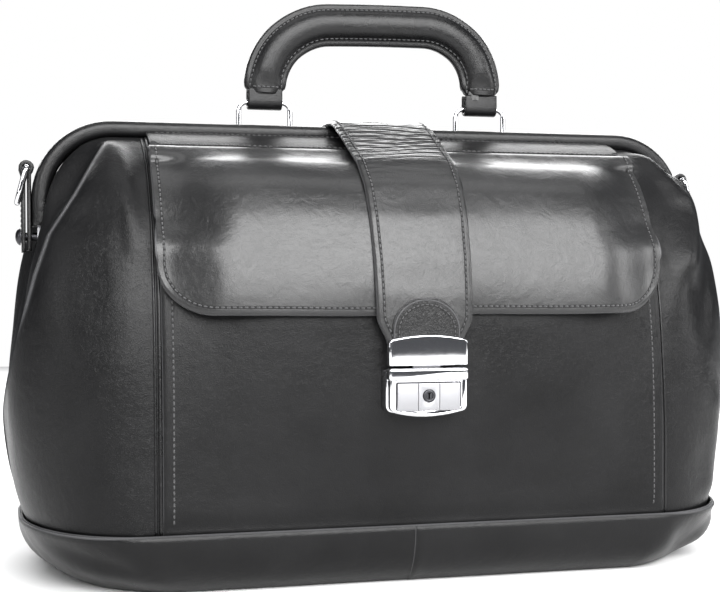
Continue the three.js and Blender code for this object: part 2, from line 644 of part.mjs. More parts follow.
function buildHasp() {
  const { halfWidth: w, z0, z1, arch } = hasp;
  const back = strapFaceY - patch.off - patch.thick - GAP;
  const shape = new THREE.Shape();
  shape.moveTo(-w, z0);
  shape.lineTo(w, z0);
  shape.lineTo(w, z1 - arch);
  shape.quadraticCurveTo(0, z1 + arch, -w, z1 - arch);
  const [y0, y1] = [back + 1, back + 1 + hasp.tongueThick];
  const half = hasp.tongueHalf;
  const top = strap.end - GAP;
  const lip = block(-half, half, back - 1.4, y1, lock.z1 + 0.6, top);
  const tongue = block(-half, half, y0, y1, lock.z1 - 2.2, top);
  add("hasp_plate", slab(shape, back - hasp.thick, back, 5).add(lip).add(tongue), looks.chrome);

  // The patch lies on the strap: straight at the hasp, and curved where it runs up onto the flap.
  const run = (z) => shareAt((v) => vec(0, 0, -strapLine.at(v).z), -z);
  const [w0, w1] = [run(patch.top), run(z0 + 1)];
  add(
    "strap_patch",
    sheet((u, v) => {
      const point = strapLine.at(mix(w0, w1, v));
      const before = strapLine.at(mix(w0, w1, v) - 0.01);
      const after = strapLine.at(mix(w0, w1, v) + 0.01);
      const along = after.sub(before).normalize();
      const rise = patch.top - point.z;
      const round = Math.sqrt(Math.max(1 - (1 - Math.min((rise + 1.5) / patch.roundRise, 1)) ** 2, 0));
      const reach = patch.off + patch.thick;
      const x = mix(-1, 1, u) * patch.halfWidth * round;
      return vec(x, point.y + along.z * reach, point.z - along.y * reach);
    }, 4, 12, patch.thick, 1),
    looks.leather,
  );
}

// ---- The handle ----
function handlePath() {
  const { x, y, gripZ, corner, legEnd } = handle;
  const path = new THREE.CurvePath();
  path.add(line(vec(-x, y, legEnd), vec(-x, y, gripZ - corner)));
  path.add(new Arc3(vec(-x + corner, y, gripZ - corner), vec(-1, 0, 0), vec(0, 0, 1), corner));
  path.add(line(vec(-x + corner, y, gripZ), vec(x - corner, y, gripZ)));
  path.add(new Arc3(vec(x - corner, y, gripZ - corner), vec(0, 0, 1), vec(1, 0, 0), corner));
  path.add(line(vec(x, y, gripZ - corner), vec(x, y, legEnd)));
  return path;
}
function handleRing(x) {
  const points = [];
  const r = ring.corner;
  const [z0, z1] = [ring.lowZ, ring.highZ];
  const w = ring.halfWidth;
  const centres = [[w - r, z1 - r, 0], [-w + r, z1 - r, 90], [-w + r, z0 + r, 180], [w - r, z0 + r, 270]];
  for (const [cx, cz, from] of centres) {
    for (let i = 0; i <= 3; i++) {
      const a = THREE.MathUtils.degToRad(from + i * 30);
      points.push(vec(x + cx + r * Math.cos(a), handle.y, cz + r * Math.sin(a)));
    }
  }
  return ringWire(points, vec(0, 1, 0), ring.wireR);
}
function buildHandle() {
  const { x, y, width, depth, gripZ, corner, legEnd, coreR } = handle;
  const steps = 26;
  const core = roundBar(handlePath(), coreR, steps);
  add("handle_core", core, looks.foam);
  const groove = roundBar(handlePath(), coreR + GAP, steps);
  const band = (y0, y1) => slab(barShape(x, gripZ, corner, width / 2, legEnd), y0, y1, 5);
  const ends = block(-FAR, FAR, -FAR, FAR, legEnd - 10, legEnd + 0.01);
  add("handle_front", band(y - depth / 2, y - 0.2).subtract(groove).subtract(ends), looks.leather);
  add("handle_back", band(y + 0.2, y + depth / 2).subtract(groove).subtract(ends), looks.leather);
  for (const [name, side] of [["left", -1], ["right", 1]]) {
    const cx = side * x;
    const { halfX, halfY, r } = handleLoop;
    const holeR = ring.wireR + WIRE_PLAY;
    const wrap = rod("x", vec(cx - halfX, y, ring.highZ), vec(cx + halfX, y, ring.highZ), r, 14);
    const neck = block(cx - halfX, cx + halfX, y - halfY, y + halfY, ring.highZ, legEnd - GAP);
    const hole = rod("x", vec(cx - halfX - 1, y, ring.highZ), vec(cx + halfX + 1, y, ring.highZ), holeR, 12);
    add(`handle_loop_${name}`, wrap.add(neck).subtract(hole), looks.leather);
    add(`handle_ring_${name}`, handleRing(cx), looks.chrome);
  }
}

// ---- The side rings ----
function buildSideRings() {
  for (const [name, side] of [["left", -1], ["right", 1]]) {
    const [a, b] = side < 0 ? [-tab.x1, -tab.x0] : [tab.x0, tab.x1];
    const loopX = side * ((tab.x0 + tab.x1) / 2);
    const strip = block(a, b, -tab.halfWidth, tab.halfWidth, tab.z0, tab.loopZ);
    const holeR = sideRing.wireR + WIRE_PLAY;
    const onLoop = (y) => vec(loopX, y, tab.loopZ);
    const loop = rod("y", onLoop(-tab.halfWidth), onLoop(tab.halfWidth), tab.loopR);
    const eye = rod("y", onLoop(-tab.halfWidth - 1), onLoop(tab.halfWidth + 1), holeR, 12);
    const hole = rod("x", vec(loopX - 10, 0, hinge.z), vec(loopX + 10, 0, hinge.z), rivet.holeR, 16);
    add(`side_tab_${name}`, strip.add(loop).subtract(eye).subtract(hole), looks.leather);

    const points = [];
    const r = sideRing.corner;
    const w = sideRing.halfWidth;
    const low = -sideRing.drop + r;
    const centres = [[w - r, -r, 0], [-w + r, -r, 90], [-w + r, low, 180], [w - r, low, 270]];
    const tilt = THREE.MathUtils.degToRad(sideRing.tilt);
    for (const [cy, cd, from] of centres) {
      for (let i = 0; i <= 3; i++) {
        const angle = THREE.MathUtils.degToRad(from + i * 30);
        const down = cd + r * Math.sin(angle);
        const x = loopX - side * down * Math.sin(tilt);
        points.push(vec(x, cy + r * Math.cos(angle), tab.loopZ + down * Math.cos(tilt)));
      }
    }
    const normal = vec(Math.cos(tilt), 0, side * Math.sin(tilt));
    add(`side_ring_${name}`, ringWire(points, normal, sideRing.wireR), looks.chrome);
  }
}

buildBase();
buildBody();
buildFrame();
buildPocket();
buildFlap();
buildStrap();
buildLock();
buildHasp();
buildHandle();
buildSideRings();

bag.position.y = ORIGIN_SHIFT_Y;
const model = new THREE.Group();
model.add(bag);
export default model;
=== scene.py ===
"""The doctor bag's looks: leather, lining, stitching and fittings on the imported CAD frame."""

import json
import math

import bmesh
import bpy
import numpy as np
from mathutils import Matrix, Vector
from mathutils.bvhtree import BVHTree


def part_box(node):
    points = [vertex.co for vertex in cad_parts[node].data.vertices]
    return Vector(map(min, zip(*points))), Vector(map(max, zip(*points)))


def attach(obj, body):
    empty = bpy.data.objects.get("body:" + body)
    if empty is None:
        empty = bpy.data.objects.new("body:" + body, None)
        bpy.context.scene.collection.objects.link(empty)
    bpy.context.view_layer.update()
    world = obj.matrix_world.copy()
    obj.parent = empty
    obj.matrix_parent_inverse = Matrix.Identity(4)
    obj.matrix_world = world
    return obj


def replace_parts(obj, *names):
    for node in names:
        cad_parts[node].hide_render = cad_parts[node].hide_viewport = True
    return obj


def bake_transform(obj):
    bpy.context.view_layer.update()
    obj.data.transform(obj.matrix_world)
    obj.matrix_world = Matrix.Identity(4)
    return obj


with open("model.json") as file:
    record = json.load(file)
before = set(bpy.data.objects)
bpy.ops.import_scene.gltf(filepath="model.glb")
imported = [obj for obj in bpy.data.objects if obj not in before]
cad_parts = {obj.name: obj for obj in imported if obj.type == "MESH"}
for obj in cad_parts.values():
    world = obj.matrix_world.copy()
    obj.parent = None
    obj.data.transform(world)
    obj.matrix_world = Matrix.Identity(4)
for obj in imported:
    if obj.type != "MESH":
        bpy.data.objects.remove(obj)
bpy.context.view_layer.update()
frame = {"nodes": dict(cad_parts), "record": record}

MM = 0.001
joints = {j["name"]: j for j in frame["record"]["behaviour"]["joints"]}
HINGE_Y, HINGE_Z = (1000 * c for c in joints["mouth_open"]["pos_m"][1:])


# ---- Numbers of the shape, in millimetres ----
BASE_HALF_X, BASE_HALF_Y, BASE_TOP = 205.0, 98.0, 32.0
BASE_CORNER_X, BASE_CORNER_Y = 63.0, 84.0
FOOT_X, FOOT_Y = 172.0, 76.0
SEAM_X = 142.0
FRONT_SHIFT = 4.4  # the front's seams, pocket and flap lie this far right of the middle
MOUTH_X, MOUTH_Y, MOUTH_TOP, MOUTH_CORNER = 191.0, 15.5, 246.5, 36.0
FRONT_SHOULDER, BACK_SHOULDER = 86.0, 68.0
LEATHER = 2.2
STRAP_TOP = 259.6
FRONT_RUN = 290.0  # about how far along the front or back one unit of s goes
SEAM_END = 0.985  # how far up the leather its seams and lining reach
LINING_GAP = 1.4
GRIP_HALF = 12.75
EDGE_PAINT_AND_HIGHLIGHT_COLOR = (0.12, 0.12, 0.124, 1)  # the colour of a rubbed edge: edge paint on cut rims, partly a painted highlight there, and a painted highlight along the front's crisp fold


# ---- Small maths ----
def smooth(t):
    t = np.clip(t, 0.0, 1.0)
    return t * t * (3 - 2 * t)


def mix(a, b, t):
    return a + (b - a) * t


def unit(v):
    return v / np.maximum(np.linalg.norm(v, axis=-1, keepdims=True), 1e-9)


def arc(centre, a, b, ra, rb=None, steps=40):
    """A quarter turn from direction a to direction b, with a radius along each."""
    angle = np.linspace(0, math.pi / 2, steps)[:, None]
    a, b = np.array(a, float), np.array(b, float)
    return np.array(centre, float) + ra * np.cos(angle) * a + (rb or ra) * np.sin(angle) * b


def along(points):
    """A function that gives the point at a share of a polyline's length."""
    pts = np.array(points, float)
    steps = np.linalg.norm(np.diff(pts, axis=0), axis=1)
    s = np.concatenate([[0.0], np.cumsum(steps)])
    s /= s[-1]
    return lambda t: np.stack([np.interp(t, s, pts[:, k]) for k in range(3)], -1)


def bezier(a, b, c, d, t):
    t = np.asarray(t)[..., None]
    return (1 - t) ** 3 * a + 3 * (1 - t) ** 2 * t * b + 3 * (1 - t) * t**2 * c + t**3 * d


def polyline_length(points):
    return float(np.linalg.norm(np.diff(points, axis=0), axis=1).sum())


def evenly(points, pitch):
    """Points at an even pitch along a polyline."""
    count = max(2, int(round(polyline_length(points) / pitch)) + 1)
    return along(points)(np.linspace(0, 1, count))


def wobble(p, size, seed):
    """A slow, repeatable unevenness from -1 to 1."""
    x, y, z = (p[..., k] / size for k in range(3))
    return (
        np.sin(1.7 * x + 0.9 * y + seed) * np.cos(1.3 * z - 0.7 * x + 2.1 * seed)
        + 0.6 * np.sin(2.9 * z + 2.3 * y + 1.7 * seed) * np.cos(2.3 * x + seed)
    ) / 1.6


# ---- Materials ----
def nodes_of(name):
    mat = bpy.data.materials.new(name)
    mat.use_nodes = True
    tree = mat.node_tree
    return mat, tree.nodes, tree.links, tree.nodes["Principled BSDF"]


def node(nodes, kind, settings=None, **inputs):
    """A new shader node, with its settings and the values of its unlinked inputs."""
    made = nodes.new("ShaderNode" + kind)
    for name, value in (settings or {}).items():
        setattr(made, name, value)
    for name, value in inputs.items():
        made.inputs[name.replace("_", " ")].default_value = value
    return made


def ramp(nodes, low, high, at=(0.0, 1.0)):
    made = nodes.new("ShaderNodeValToRGB")
    for element, color, position in zip(made.color_ramp.elements, (low, high), at):
        element.position = position
        element.color = (*color, 1)
    return made


def connect(link, *wires):
    for source, output, target, socket in wires:
        link.new(source.outputs[output], target.inputs[socket])


def shades(color, share, more=0.0):
    return [c * share + more for c in color]


def leather(name, color, rough, grain=0.00005, cell=900.0, crease=0.00012, coat=0.0, pebble=0.0, shine=0.3):
    """Finished leather: fine grain cells, soft creases, uneven polish and colour."""
    mat, n, link, shader = nodes_of(name)
    place = node(n, "TexCoord")
    cells = node(n, "TexVoronoi", {"feature": "DISTANCE_TO_EDGE"}, Scale=cell)
    bend = node(n, "TexNoise", Scale=260.0, Detail=2.0)
    warp = node(n, "MixRGB", {"blend_type": "LINEAR_LIGHT"}, Fac=0.004)
    round_cells = node(n, "MapRange", {"interpolation_type": "SMOOTHSTEP"}, From_Max=0.28)
    fine = node(n, "Bump", Distance=grain * (1 + 5 * pebble), Strength=0.55 + 0.4 * pebble)
    folds = node(n, "TexNoise", Scale=75.0, Detail=5.0, Roughness=0.55, Distortion=0.6)
    coarse = node(n, "Bump", Distance=crease * 4, Strength=0.4)
    patches = node(n, "TexNoise", Scale=16.0, Detail=6.0, Roughness=0.62)
    polish = node(n, "MapRange", From_Min=0.32, From_Max=0.68, To_Min=rough[0], To_Max=rough[1])
    tone = ramp(n, shades(color, 0.7), shades(color, 1.45, 0.002), at=(0.3, 0.75))
    # the edge attribute mixes in the paler edge colour: edge paint and partly a painted highlight on rims,
    # and a painted highlight along the front's crisp fold
    edge_paint_and_highlight = node(n, "Attribute", {"attribute_name": "edge"})
    edge_paint_and_highlight_mix = node(n, "MixRGB", Color2=EDGE_PAINT_AND_HIGHLIGHT_COLOR)
    connect(
        link,
        (place, "Object", bend, "Vector"), (place, "Object", warp, "Color1"), (bend, "Color", warp, "Color2"),
        (warp, "Color", cells, "Vector"), (cells, "Distance", round_cells, "Value"),
        (round_cells, "Result", fine, "Height"), (place, "Object", folds, "Vector"),
        (folds, "Fac", coarse, "Height"), (fine, "Normal", coarse, "Normal"),
        (coarse, "Normal", shader, "Normal"),
        (place, "Object", patches, "Vector"), (patches, "Fac", polish, "Value"),
        (polish, "Result", shader, "Roughness"), (patches, "Fac", tone, "Fac"), (edge_paint_and_highlight, "Fac", edge_paint_and_highlight_mix, "Fac"),
        (tone, "Color", edge_paint_and_highlight_mix, "Color1"), (edge_paint_and_highlight_mix, "Color", shader, "Base Color"),
    )
    shader.inputs["Coat Weight"].default_value = coat
    shader.inputs["Coat Roughness"].default_value = 0.22
    shader.inputs["Specular IOR Level"].default_value = shine
    return mat


def metal(name, color, rough, scratch=0.25, brushed=False):
    """Plated or brushed metal with faint polishing marks."""
    mat, n, link, shader = nodes_of(name)
    place = node(n, "TexCoord")
    stretch = node(n, "Mapping", Scale=(40.0, 40.0, 3200.0) if brushed else (500.0, 500.0, 500.0))
    marks = node(n, "TexNoise", Scale=1.0, Detail=4.0)
    spread = node(n, "MapRange", To_Min=rough * 0.75, To_Max=rough * 1.35)
    bump = node(n, "Bump", Distance=0.00002, Strength=scratch)
    tint = ramp(n, shades(color, 0.9), color)
    connect(
        link,
        (place, "Object", stretch, "Vector"), (stretch, "Vector", marks, "Vector"),
        (marks, "Fac", spread, "Value"), (spread, "Result", shader, "Roughness"),
        (marks, "Fac", bump, "Height"), (bump, "Normal", shader, "Normal"),
        (marks, "Fac", tint, "Fac"), (tint, "Color", shader, "Base Color"),
    )
    shader.inputs["Metallic"].default_value = 1.0
    return mat


def woven(name, color, scale=900.0):
    """Plain woven cloth or bound thread."""
    mat, n, link, shader = nodes_of(name)
    place = node(n, "TexCoord")
    weave = node(n, "Math", {"operation": "MAXIMUM"})
    for index, direction in enumerate("XZ"):
        wave = node(n, "TexWave", {"bands_direction": direction}, Scale=scale / 6.3, Distortion=0.6)
        connect(link, (place, "Object", wave, "Vector"), (wave, "Fac", weave, index))
    bump = node(n, "Bump", Distance=0.0002, Strength=0.6)
    tone = ramp(n, shades(color, 0.6), color)
    connect(
        link,
        (weave, "Value", bump, "Height"), (bump, "Normal", shader, "Normal"), (weave, "Value", tone, "Fac"),
        (tone, "Color", shader, "Base Color"),
    )
    shader.inputs["Roughness"].default_value = 0.85
    shader.inputs["Sheen Weight"].default_value = 0.3
    return mat


BLACK = (0.0045, 0.0045, 0.0048)
BODY = leather("body_leather", BLACK, (0.3, 0.42), grain=0.00007, crease=0.00025, shine=0.2)
SMOOTH = leather(
    "flap_leather", (0.008, 0.008, 0.0083), (0.32, 0.42), grain=0.00006, crease=0.0004, coat=0.24, shine=0.45
)
SIDES = leather("side_leather", BLACK, (0.27, 0.38), crease=0.0002, shine=0.22)
TRIM = leather("trim_leather", BLACK, (0.24, 0.34), cell=1100.0)
PEBBLED = leather("pebbled_leather", (0.009, 0.009, 0.0093), (0.3, 0.4), cell=620.0, pebble=0.6)
# a paler leather for cords and cut edges: edge paint, and in part a painted highlight along them
EDGE_PAINT_AND_HIGHLIGHT = leather("edge_paint_and_painted_highlight", (0.05, 0.05, 0.052), (0.35, 0.5), cell=1500.0)
# very dark leather for the ribbon under each stitch line: painted shade standing in for the pressed stitch
# groove
STITCH_GROOVE_SHADE = leather("stitch_groove_painted_shade", (0.003, 0.003, 0.0032), (0.6, 0.75))
THREAD = woven("thread", (0.05, 0.05, 0.052), scale=2600.0)
LINING = woven("lining_cloth", (0.035, 0.033, 0.036), scale=1500.0)
BOARD = woven("fibre_board", (0.3, 0.23, 0.16), scale=400.0)
FOAM = woven("padding", (0.09, 0.09, 0.09), scale=700.0)
CHROME = metal("chrome", (0.82, 0.82, 0.84), 0.07)
STEEL = metal("steel", (0.45, 0.45, 0.47), 0.32)
SATIN = metal("satin_plate", (0.4, 0.4, 0.415), 0.5, scratch=0.2, brushed=True)
DARK_METAL = metal("dark_metal", (0.06, 0.06, 0.065), 0.35)


# ---- Making meshes ----
def ring_faces(rings, count, start=0):
    """The faces between rings of count points that follow one another."""
    faces = []
    for i in range(rings - 1):
        a, b = start + i * count, start + (i + 1) * count
        for k in range(count):
            faces.append((a + k, a + (k + 1) % count, b + (k + 1) % count, b + k))
    return faces


def end_caps(rings, count):
    return [tuple(range(count))[::-1], tuple((rings - 1) * count + k for k in range(count))]


def new_object(name, verts_mm, faces, material):
    mesh = bpy.data.meshes.new(name)
    places = [tuple(v) for v in np.asarray(verts_mm, float) * MM]
    mesh.from_pydata(places, [], [tuple(int(i) for i in f) for f in faces])
    mesh.materials.append(material)
    mesh.update()
    mesh.polygons.foreach_set("use_smooth", [True] * len(mesh.polygons))
    obj = bpy.data.objects.new(name, mesh)
    bpy.context.scene.collection.objects.link(obj)
    return obj


def grid_normals(p):
    return unit(np.cross(np.gradient(p, axis=0), np.gradient(p, axis=1)))


def sheet_mesh(name, points, thick, material, side=1):
    """A closed sheet from its outer face's grid of points. side is the way that face looks along du x dv."""
    p = np.asarray(points, float)
    nu, nv = p.shape[:2]
    normal = grid_normals(p) * side
    inner = p - normal * thick
    # the rim is rolled: a middle ring stands out between the two faces
    verts = np.concatenate([p.reshape(-1, 3), inner.reshape(-1, 3)])
    k = lambda i, j, layer: layer * nu * nv + i * nv + j
    faces = []
    for i in range(nu - 1):
        for j in range(nv - 1):
            faces.append((k(i, j, 0), k(i + 1, j, 0), k(i + 1, j + 1, 0), k(i, j + 1, 0)))
            faces.append((k(i, j, 1), k(i, j + 1, 1), k(i + 1, j + 1, 1), k(i + 1, j, 1)))
    border = (
        [(i, 0) for i in range(nu)]
        + [(nu - 1, j) for j in range(1, nv)]
        + [(i, nv - 1) for i in range(nu - 2, -1, -1)]
        + [(0, j) for j in range(nv - 2, 0, -1)]
    )
    middles = []
    for index, (i, j) in enumerate(border):
        before, after = border[index - 1], border[(index + 1) % len(border)]
        tangent = unit(p[after] - p[before])
        out = unit(np.cross(tangent, normal[i, j]))
        step = p[i, j] - p[min(max(i, 1), nu - 2), min(max(j, 1), nv - 2)]
        if np.dot(out, step) < 0:
            out = -out
        middles.append((p[i, j] + inner[i, j]) / 2 + out * thick * 0.35)
    start = len(verts)
    verts = np.concatenate([verts, np.array(middles)])
    for index in range(len(border)):
        a, b = border[index], border[(index + 1) % len(border)]
        m, n = start + index, start + (index + 1) % len(border)
        faces.append((k(*b, 0), k(*a, 0), m, n))
        faces.append((n, m, k(*a, 1), k(*b, 1)))
    if side < 0:
        faces = [f[::-1] for f in faces]
    obj = new_object(name, verts, faces, material)
    # how close to the cut edge each point is, for the paler painted edge: edge paint, and in part a painted
    # highlight along the rim
    edge = np.zeros(len(verts))
    edge[start:] = 0.8
    attribute = obj.data.attributes.new("edge", "FLOAT", "POINT")
    attribute.data.foreach_set("value", edge.astype(np.float32))
    return obj


def tangents(p, closed):
    return unit(np.roll(p, -1, 0) - np.roll(p, 1, 0) if closed else np.gradient(p, axis=0))


def plane_frames(path):
    """The directions across the path and out from it, for a path in an X-Z plane."""
    return wire_frames(path, False, (0, 1, 0))


def sweep(name, path, profiles, material, across=None, closed=False):
    """A closed profile of (across, out) pairs carried along a path, the same all along or one a point."""
    p = np.asarray(path, float)
    across, out = across or plane_frames(p)
    profiles = np.asarray(profiles, float)
    if profiles.ndim == 2:
        profiles = np.tile(profiles, (len(p), 1, 1))
    m = profiles.shape[1]
    verts = (
        p[:, None, :]
        + profiles[:, :, :1] * across[:, None, :]
        + profiles[:, :, 1:] * out[:, None, :]
    ).reshape(-1, 3)
    rows = len(p)
    faces = ring_faces(rows, m)
    if closed:
        last = (rows - 1) * m
        faces += [(last + k, last + (k + 1) % m, (k + 1) % m, k) for k in range(m)]
    else:
        faces += end_caps(rows, m)
    return fix_normals(new_object(name, verts, faces, material))


def fix_normals(obj):
    bm = bmesh.new()
    bm.from_mesh(obj.data)
    bmesh.ops.recalc_face_normals(bm, faces=bm.faces)
    bm.to_mesh(obj.data)
    bm.free()
    return obj


def circle(r, sides=12):
    a = np.linspace(0, 2 * math.pi, sides, endpoint=False)
    return np.stack([r * np.cos(a), r * np.sin(a)], -1)


def rounded_box_outline(half_a, half_b, r, steps=5):
    points = []
    for ca, cb, start in ((1, 1, 0), (-1, 1, 90), (-1, -1, 180), (1, -1, 270)):
        for i in range(steps + 1):
            angle = math.radians(start + 90 * i / steps)
            points.append((ca * (half_a - r) + r * math.cos(angle), cb * (half_b - r) + r * math.sin(angle)))
    return np.array(points)


def wire_frames(path, closed, normal):
    """Frames for a wire that lies in a plane with this normal."""
    p = np.asarray(path, float)
    tangent = tangents(p, closed)
    across = np.tile(np.array(normal, float), (len(p), 1))
    return across, unit(np.cross(tangent, across))


def tube(name, path, r, material, sides=10, closed=False):
    """A round tube along any smooth path."""
    p = np.asarray(path, float)
    tangent = tangents(p, closed)
    across = np.zeros_like(p)
    guide = np.array([0.0, 0.0, 1.0]) if abs(tangent[0][2]) < 0.8 else np.array([0.0, 1.0, 0.0])
    for i, t in enumerate(tangent):
        guide = guide - t * np.dot(guide, t)
        guide = guide / max(np.linalg.norm(guide), 1e-9)
        across[i] = guide
    frames = (across, np.cross(tangent, across))
    return sweep(name, p, circle(r, sides), material, across=frames, closed=closed)


def plate(name, outline, y_front, y_back, material, bevel=0.6, holes=(), segments=3):
    """A plate cut to an outline in X and Z, with rounded edges, and a hole for each further outline."""
    bm = bmesh.new()
    loops = []
    for points in (outline, *holes):
        verts = [bm.verts.new((x * MM, y_front * MM, z * MM)) for x, z in points]
        loops.append([bm.edges.new((verts[i], verts[(i + 1) % len(verts)])) for i in range(len(verts))])
    bmesh.ops.triangle_fill(bm, use_beauty=True, use_dissolve=True, edges=[e for loop in loops for e in loop])
    front = list(bm.faces)
    extruded = bmesh.ops.extrude_face_region(bm, geom=front)
    moved = [v for v in extruded["geom"] if isinstance(v, bmesh.types.BMVert)]
    bmesh.ops.translate(bm, verts=moved, vec=(0, (y_back - y_front) * MM, 0))
    bmesh.ops.recalc_face_normals(bm, faces=bm.faces)
    rim = [e for e in bm.edges if len(e.link_faces) == 2 and e.calc_face_angle() > math.radians(40)]
    level = [e for e in rim if abs(e.verts[0].co.y - e.verts[1].co.y) < 1e-7]
    flat = [e for e in level if abs(e.verts[0].co.y - y_front * MM) < 1e-6]
    bmesh.ops.bevel(
        bm, geom=flat, offset=bevel * MM, segments=segments, profile=0.5, affect="EDGES", clamp_overlap=True
    )
    mesh = bpy.data.meshes.new(name)
    bm.to_mesh(mesh)
    bm.free()
    mesh.materials.append(material)
    mesh.polygons.foreach_set("use_smooth", [True] * len(mesh.polygons))
    mesh.set_sharp_from_angle(angle=math.radians(35))
    obj = bpy.data.objects.new(name, mesh)
    bpy.context.scene.collection.objects.link(obj)
    return obj


def join(name, objs):
    """Joins meshes into one object, each face keeping its material."""
    for o in bpy.context.selected_objects:
        o.select_set(False)
    for o in objs:
        o.select_set(True)
    bpy.context.view_layer.objects.active = objs[0]
    bpy.ops.object.join()
    objs[0].name = name
    objs[0].data.name = name
    return objs[0]


# ---- Sewing ----
class Surface:
    """The outer face of a made piece, to lay thread and creases on."""

    def __init__(self, *objs):
        verts, faces = [], []
        for obj in objs:
            base = len(verts)
            verts += [v.co / MM for v in obj.data.vertices]
            faces += [[base + i for i in p.vertices] for p in obj.data.polygons]
        self.tree = BVHTree.FromPolygons(verts, faces)

    def snap(self, points, lift=0.0, off=1.5, toward=None):
        """Points and normals on the face nearest to each point. off starts outside the face, along toward."""
        places, normals = [], []
        for i, p in enumerate(np.asarray(points, float)):
            start = Vector(p)
            if toward is not None:
                start = start + Vector(toward[i] if np.ndim(toward) == 2 else toward) * off
            where, normal, _, _ = self.tree.find_nearest(start)
            places.append(np.array(where + normal * lift))
            normals.append(np.array(normal))
        return np.array(places), np.array(normals)


def capsule(length, r, sides=6):
    """One stitch: a thread that dips into the leather at both ends."""
    shares = [
        (-0.5, 0.25, -0.55), (-0.36, 0.9, -0.1), (0.0, 1.0, 0.25), (0.36, 0.9, -0.1), (0.5, 0.25, -0.55),
    ]
    rows = []
    for share, width, rise in shares:
        for k in range(sides):
            a = 2 * math.pi * k / sides
            rows.append((share * length, r * width * math.cos(a), r * width * math.sin(a) + rise * r))
    faces = ring_faces(len(shares), sides) + end_caps(len(shares), sides)
    return np.array(rows), faces


def stitching(name, surface, lines, pitch=3.1, length=2.2, r=0.4, toward=None, lift=0.12):
    """Thread along lines on a surface, each stitch its own loop of thread, over a dark ribbon of painted
    shade where a pressed-in crease would be.
    """
    template, template_faces = capsule(length, r)
    verts, faces = [], []
    ribbons = []
    for line in lines:
        even = evenly(np.asarray(line, float), pitch)
        places, normals = surface.snap(even, lift=lift, toward=toward)
        tangent = unit(np.gradient(places, axis=0))
        across = unit(np.cross(normals, tangent))
        for k in range(len(places) - 1):
            centre = (places[k] + places[k + 1]) / 2
            t = unit(places[k + 1] - places[k])
            n = unit(normals[k] + normals[k + 1])
            b = unit(np.cross(n, t))
            base = len(verts)
            verts += list(centre + template[:, :1] * t + template[:, 1:2] * b + template[:, 2:] * n)
            faces += [tuple(base + i for i in f) for f in template_faces]
        ribbons.append((places - normals * lift, normals, across))
    thread = new_object(name, verts, faces, THREAD)
    verts, faces = [], []
    half = 0.95
    for places, normals, across in ribbons:
        base = len(verts)
        for p, n, a in zip(places, normals, across):
            for share, rise in ((1, -0.05), (0.45, 0.09), (-0.45, 0.09), (-1, -0.05)):
                verts.append(p + a * half * share + n * rise)
        for i in range(len(places) - 1):
            for k in range(3):
                a, b = base + 4 * i + k, base + 4 * (i + 1) + k
                faces.append((a, a + 1, b + 1, b))
    # the crease ribbon is painted shade: a darker strip in place of a real groove under the thread
    crease = new_object(name + "_crease", verts, faces, STITCH_GROOVE_SHADE)
    fix_normals(thread)
    return join(name, [thread, crease])


def piping(name, surface, line, r, material, lift=0.3, toward=None, pitch=3.0):
    """A raised, rounded cord of leather along a line."""
    even = evenly(np.asarray(line, float), pitch)
    places, _ = surface.snap(even, lift=lift, toward=toward)
    return tube(name, places, r, material, sides=8)


# ---- The body's surface ----
def base_corner_points():
    cx, cy = BASE_CORNER_X, BASE_CORNER_Y
    return np.concatenate([
        [(BASE_HALF_X, 0, BASE_TOP)],
        arc((BASE_HALF_X - cx, -BASE_HALF_Y + cy, BASE_TOP), (1, 0, 0), (0, -1, 0), cx, cy),
    ])


def mouth_corner_points():
    c = MOUTH_CORNER
    return np.concatenate([
        [(198, 0, 184), (MOUTH_X, -MOUTH_Y, 201)],
        arc((MOUTH_X - c, -MOUTH_Y, MOUTH_TOP - c), (1, 0, 0), (0, 0, 1), c),
        [(SEAM_X, -MOUTH_Y, MOUTH_TOP)],
    ])


base_corner = along(base_corner_points())
mouth_corner = along(mouth_corner_points())


def corner_surface(t, v, shoulder):
    """The body's front right quarter, about the hinge line: t from the side's middle to the seam, v up."""
    low, high = base_corner(t), mouth_corner(t)
    forward = smooth(t / 0.85)
    side = 1 - smooth((t - 0.25) / 0.62)
    low_tangent = low + np.stack([20 * side, forward, mix(46, 78, forward)], -1)
    fall = mix(40, 20, forward)
    high_tangent = high + np.stack([mix(21, 34, forward) * side, -shoulder * forward, -fall], -1)
    return bezier(low, low_tangent, high_tangent, high, v)


STRAIGHT = 0.49  # the share of each half of the body that is its flat middle


def body_grid(s, v, back=False):
    """The body's face before its folds. s goes round from the left hinge (-1) to the right one (1)."""
    s, v = np.broadcast_arrays(np.asarray(s, float), np.asarray(v, float))
    walk = 1 - np.abs(s)
    t = np.clip(walk / (1 - STRAIGHT), 0, 1)
    p = corner_surface(t, v, BACK_SHOULDER if back else FRONT_SHOULDER)
    middle = np.abs(s) < STRAIGHT
    x = np.where(middle, s / STRAIGHT * SEAM_X, np.sign(s) * p[..., 0])
    y = -p[..., 1] if back else p[..., 1]
    return np.stack([x, y + HINGE_Y, p[..., 2]], -1)


def segment_distance(p, a, b):
    a, b = np.array(a, float), np.array(b, float)
    d = b - a
    share = np.clip(((p - a) @ d) / (d @ d), 0, 1)
    return np.linalg.norm(p - (a + share[..., None] * d), axis=-1)


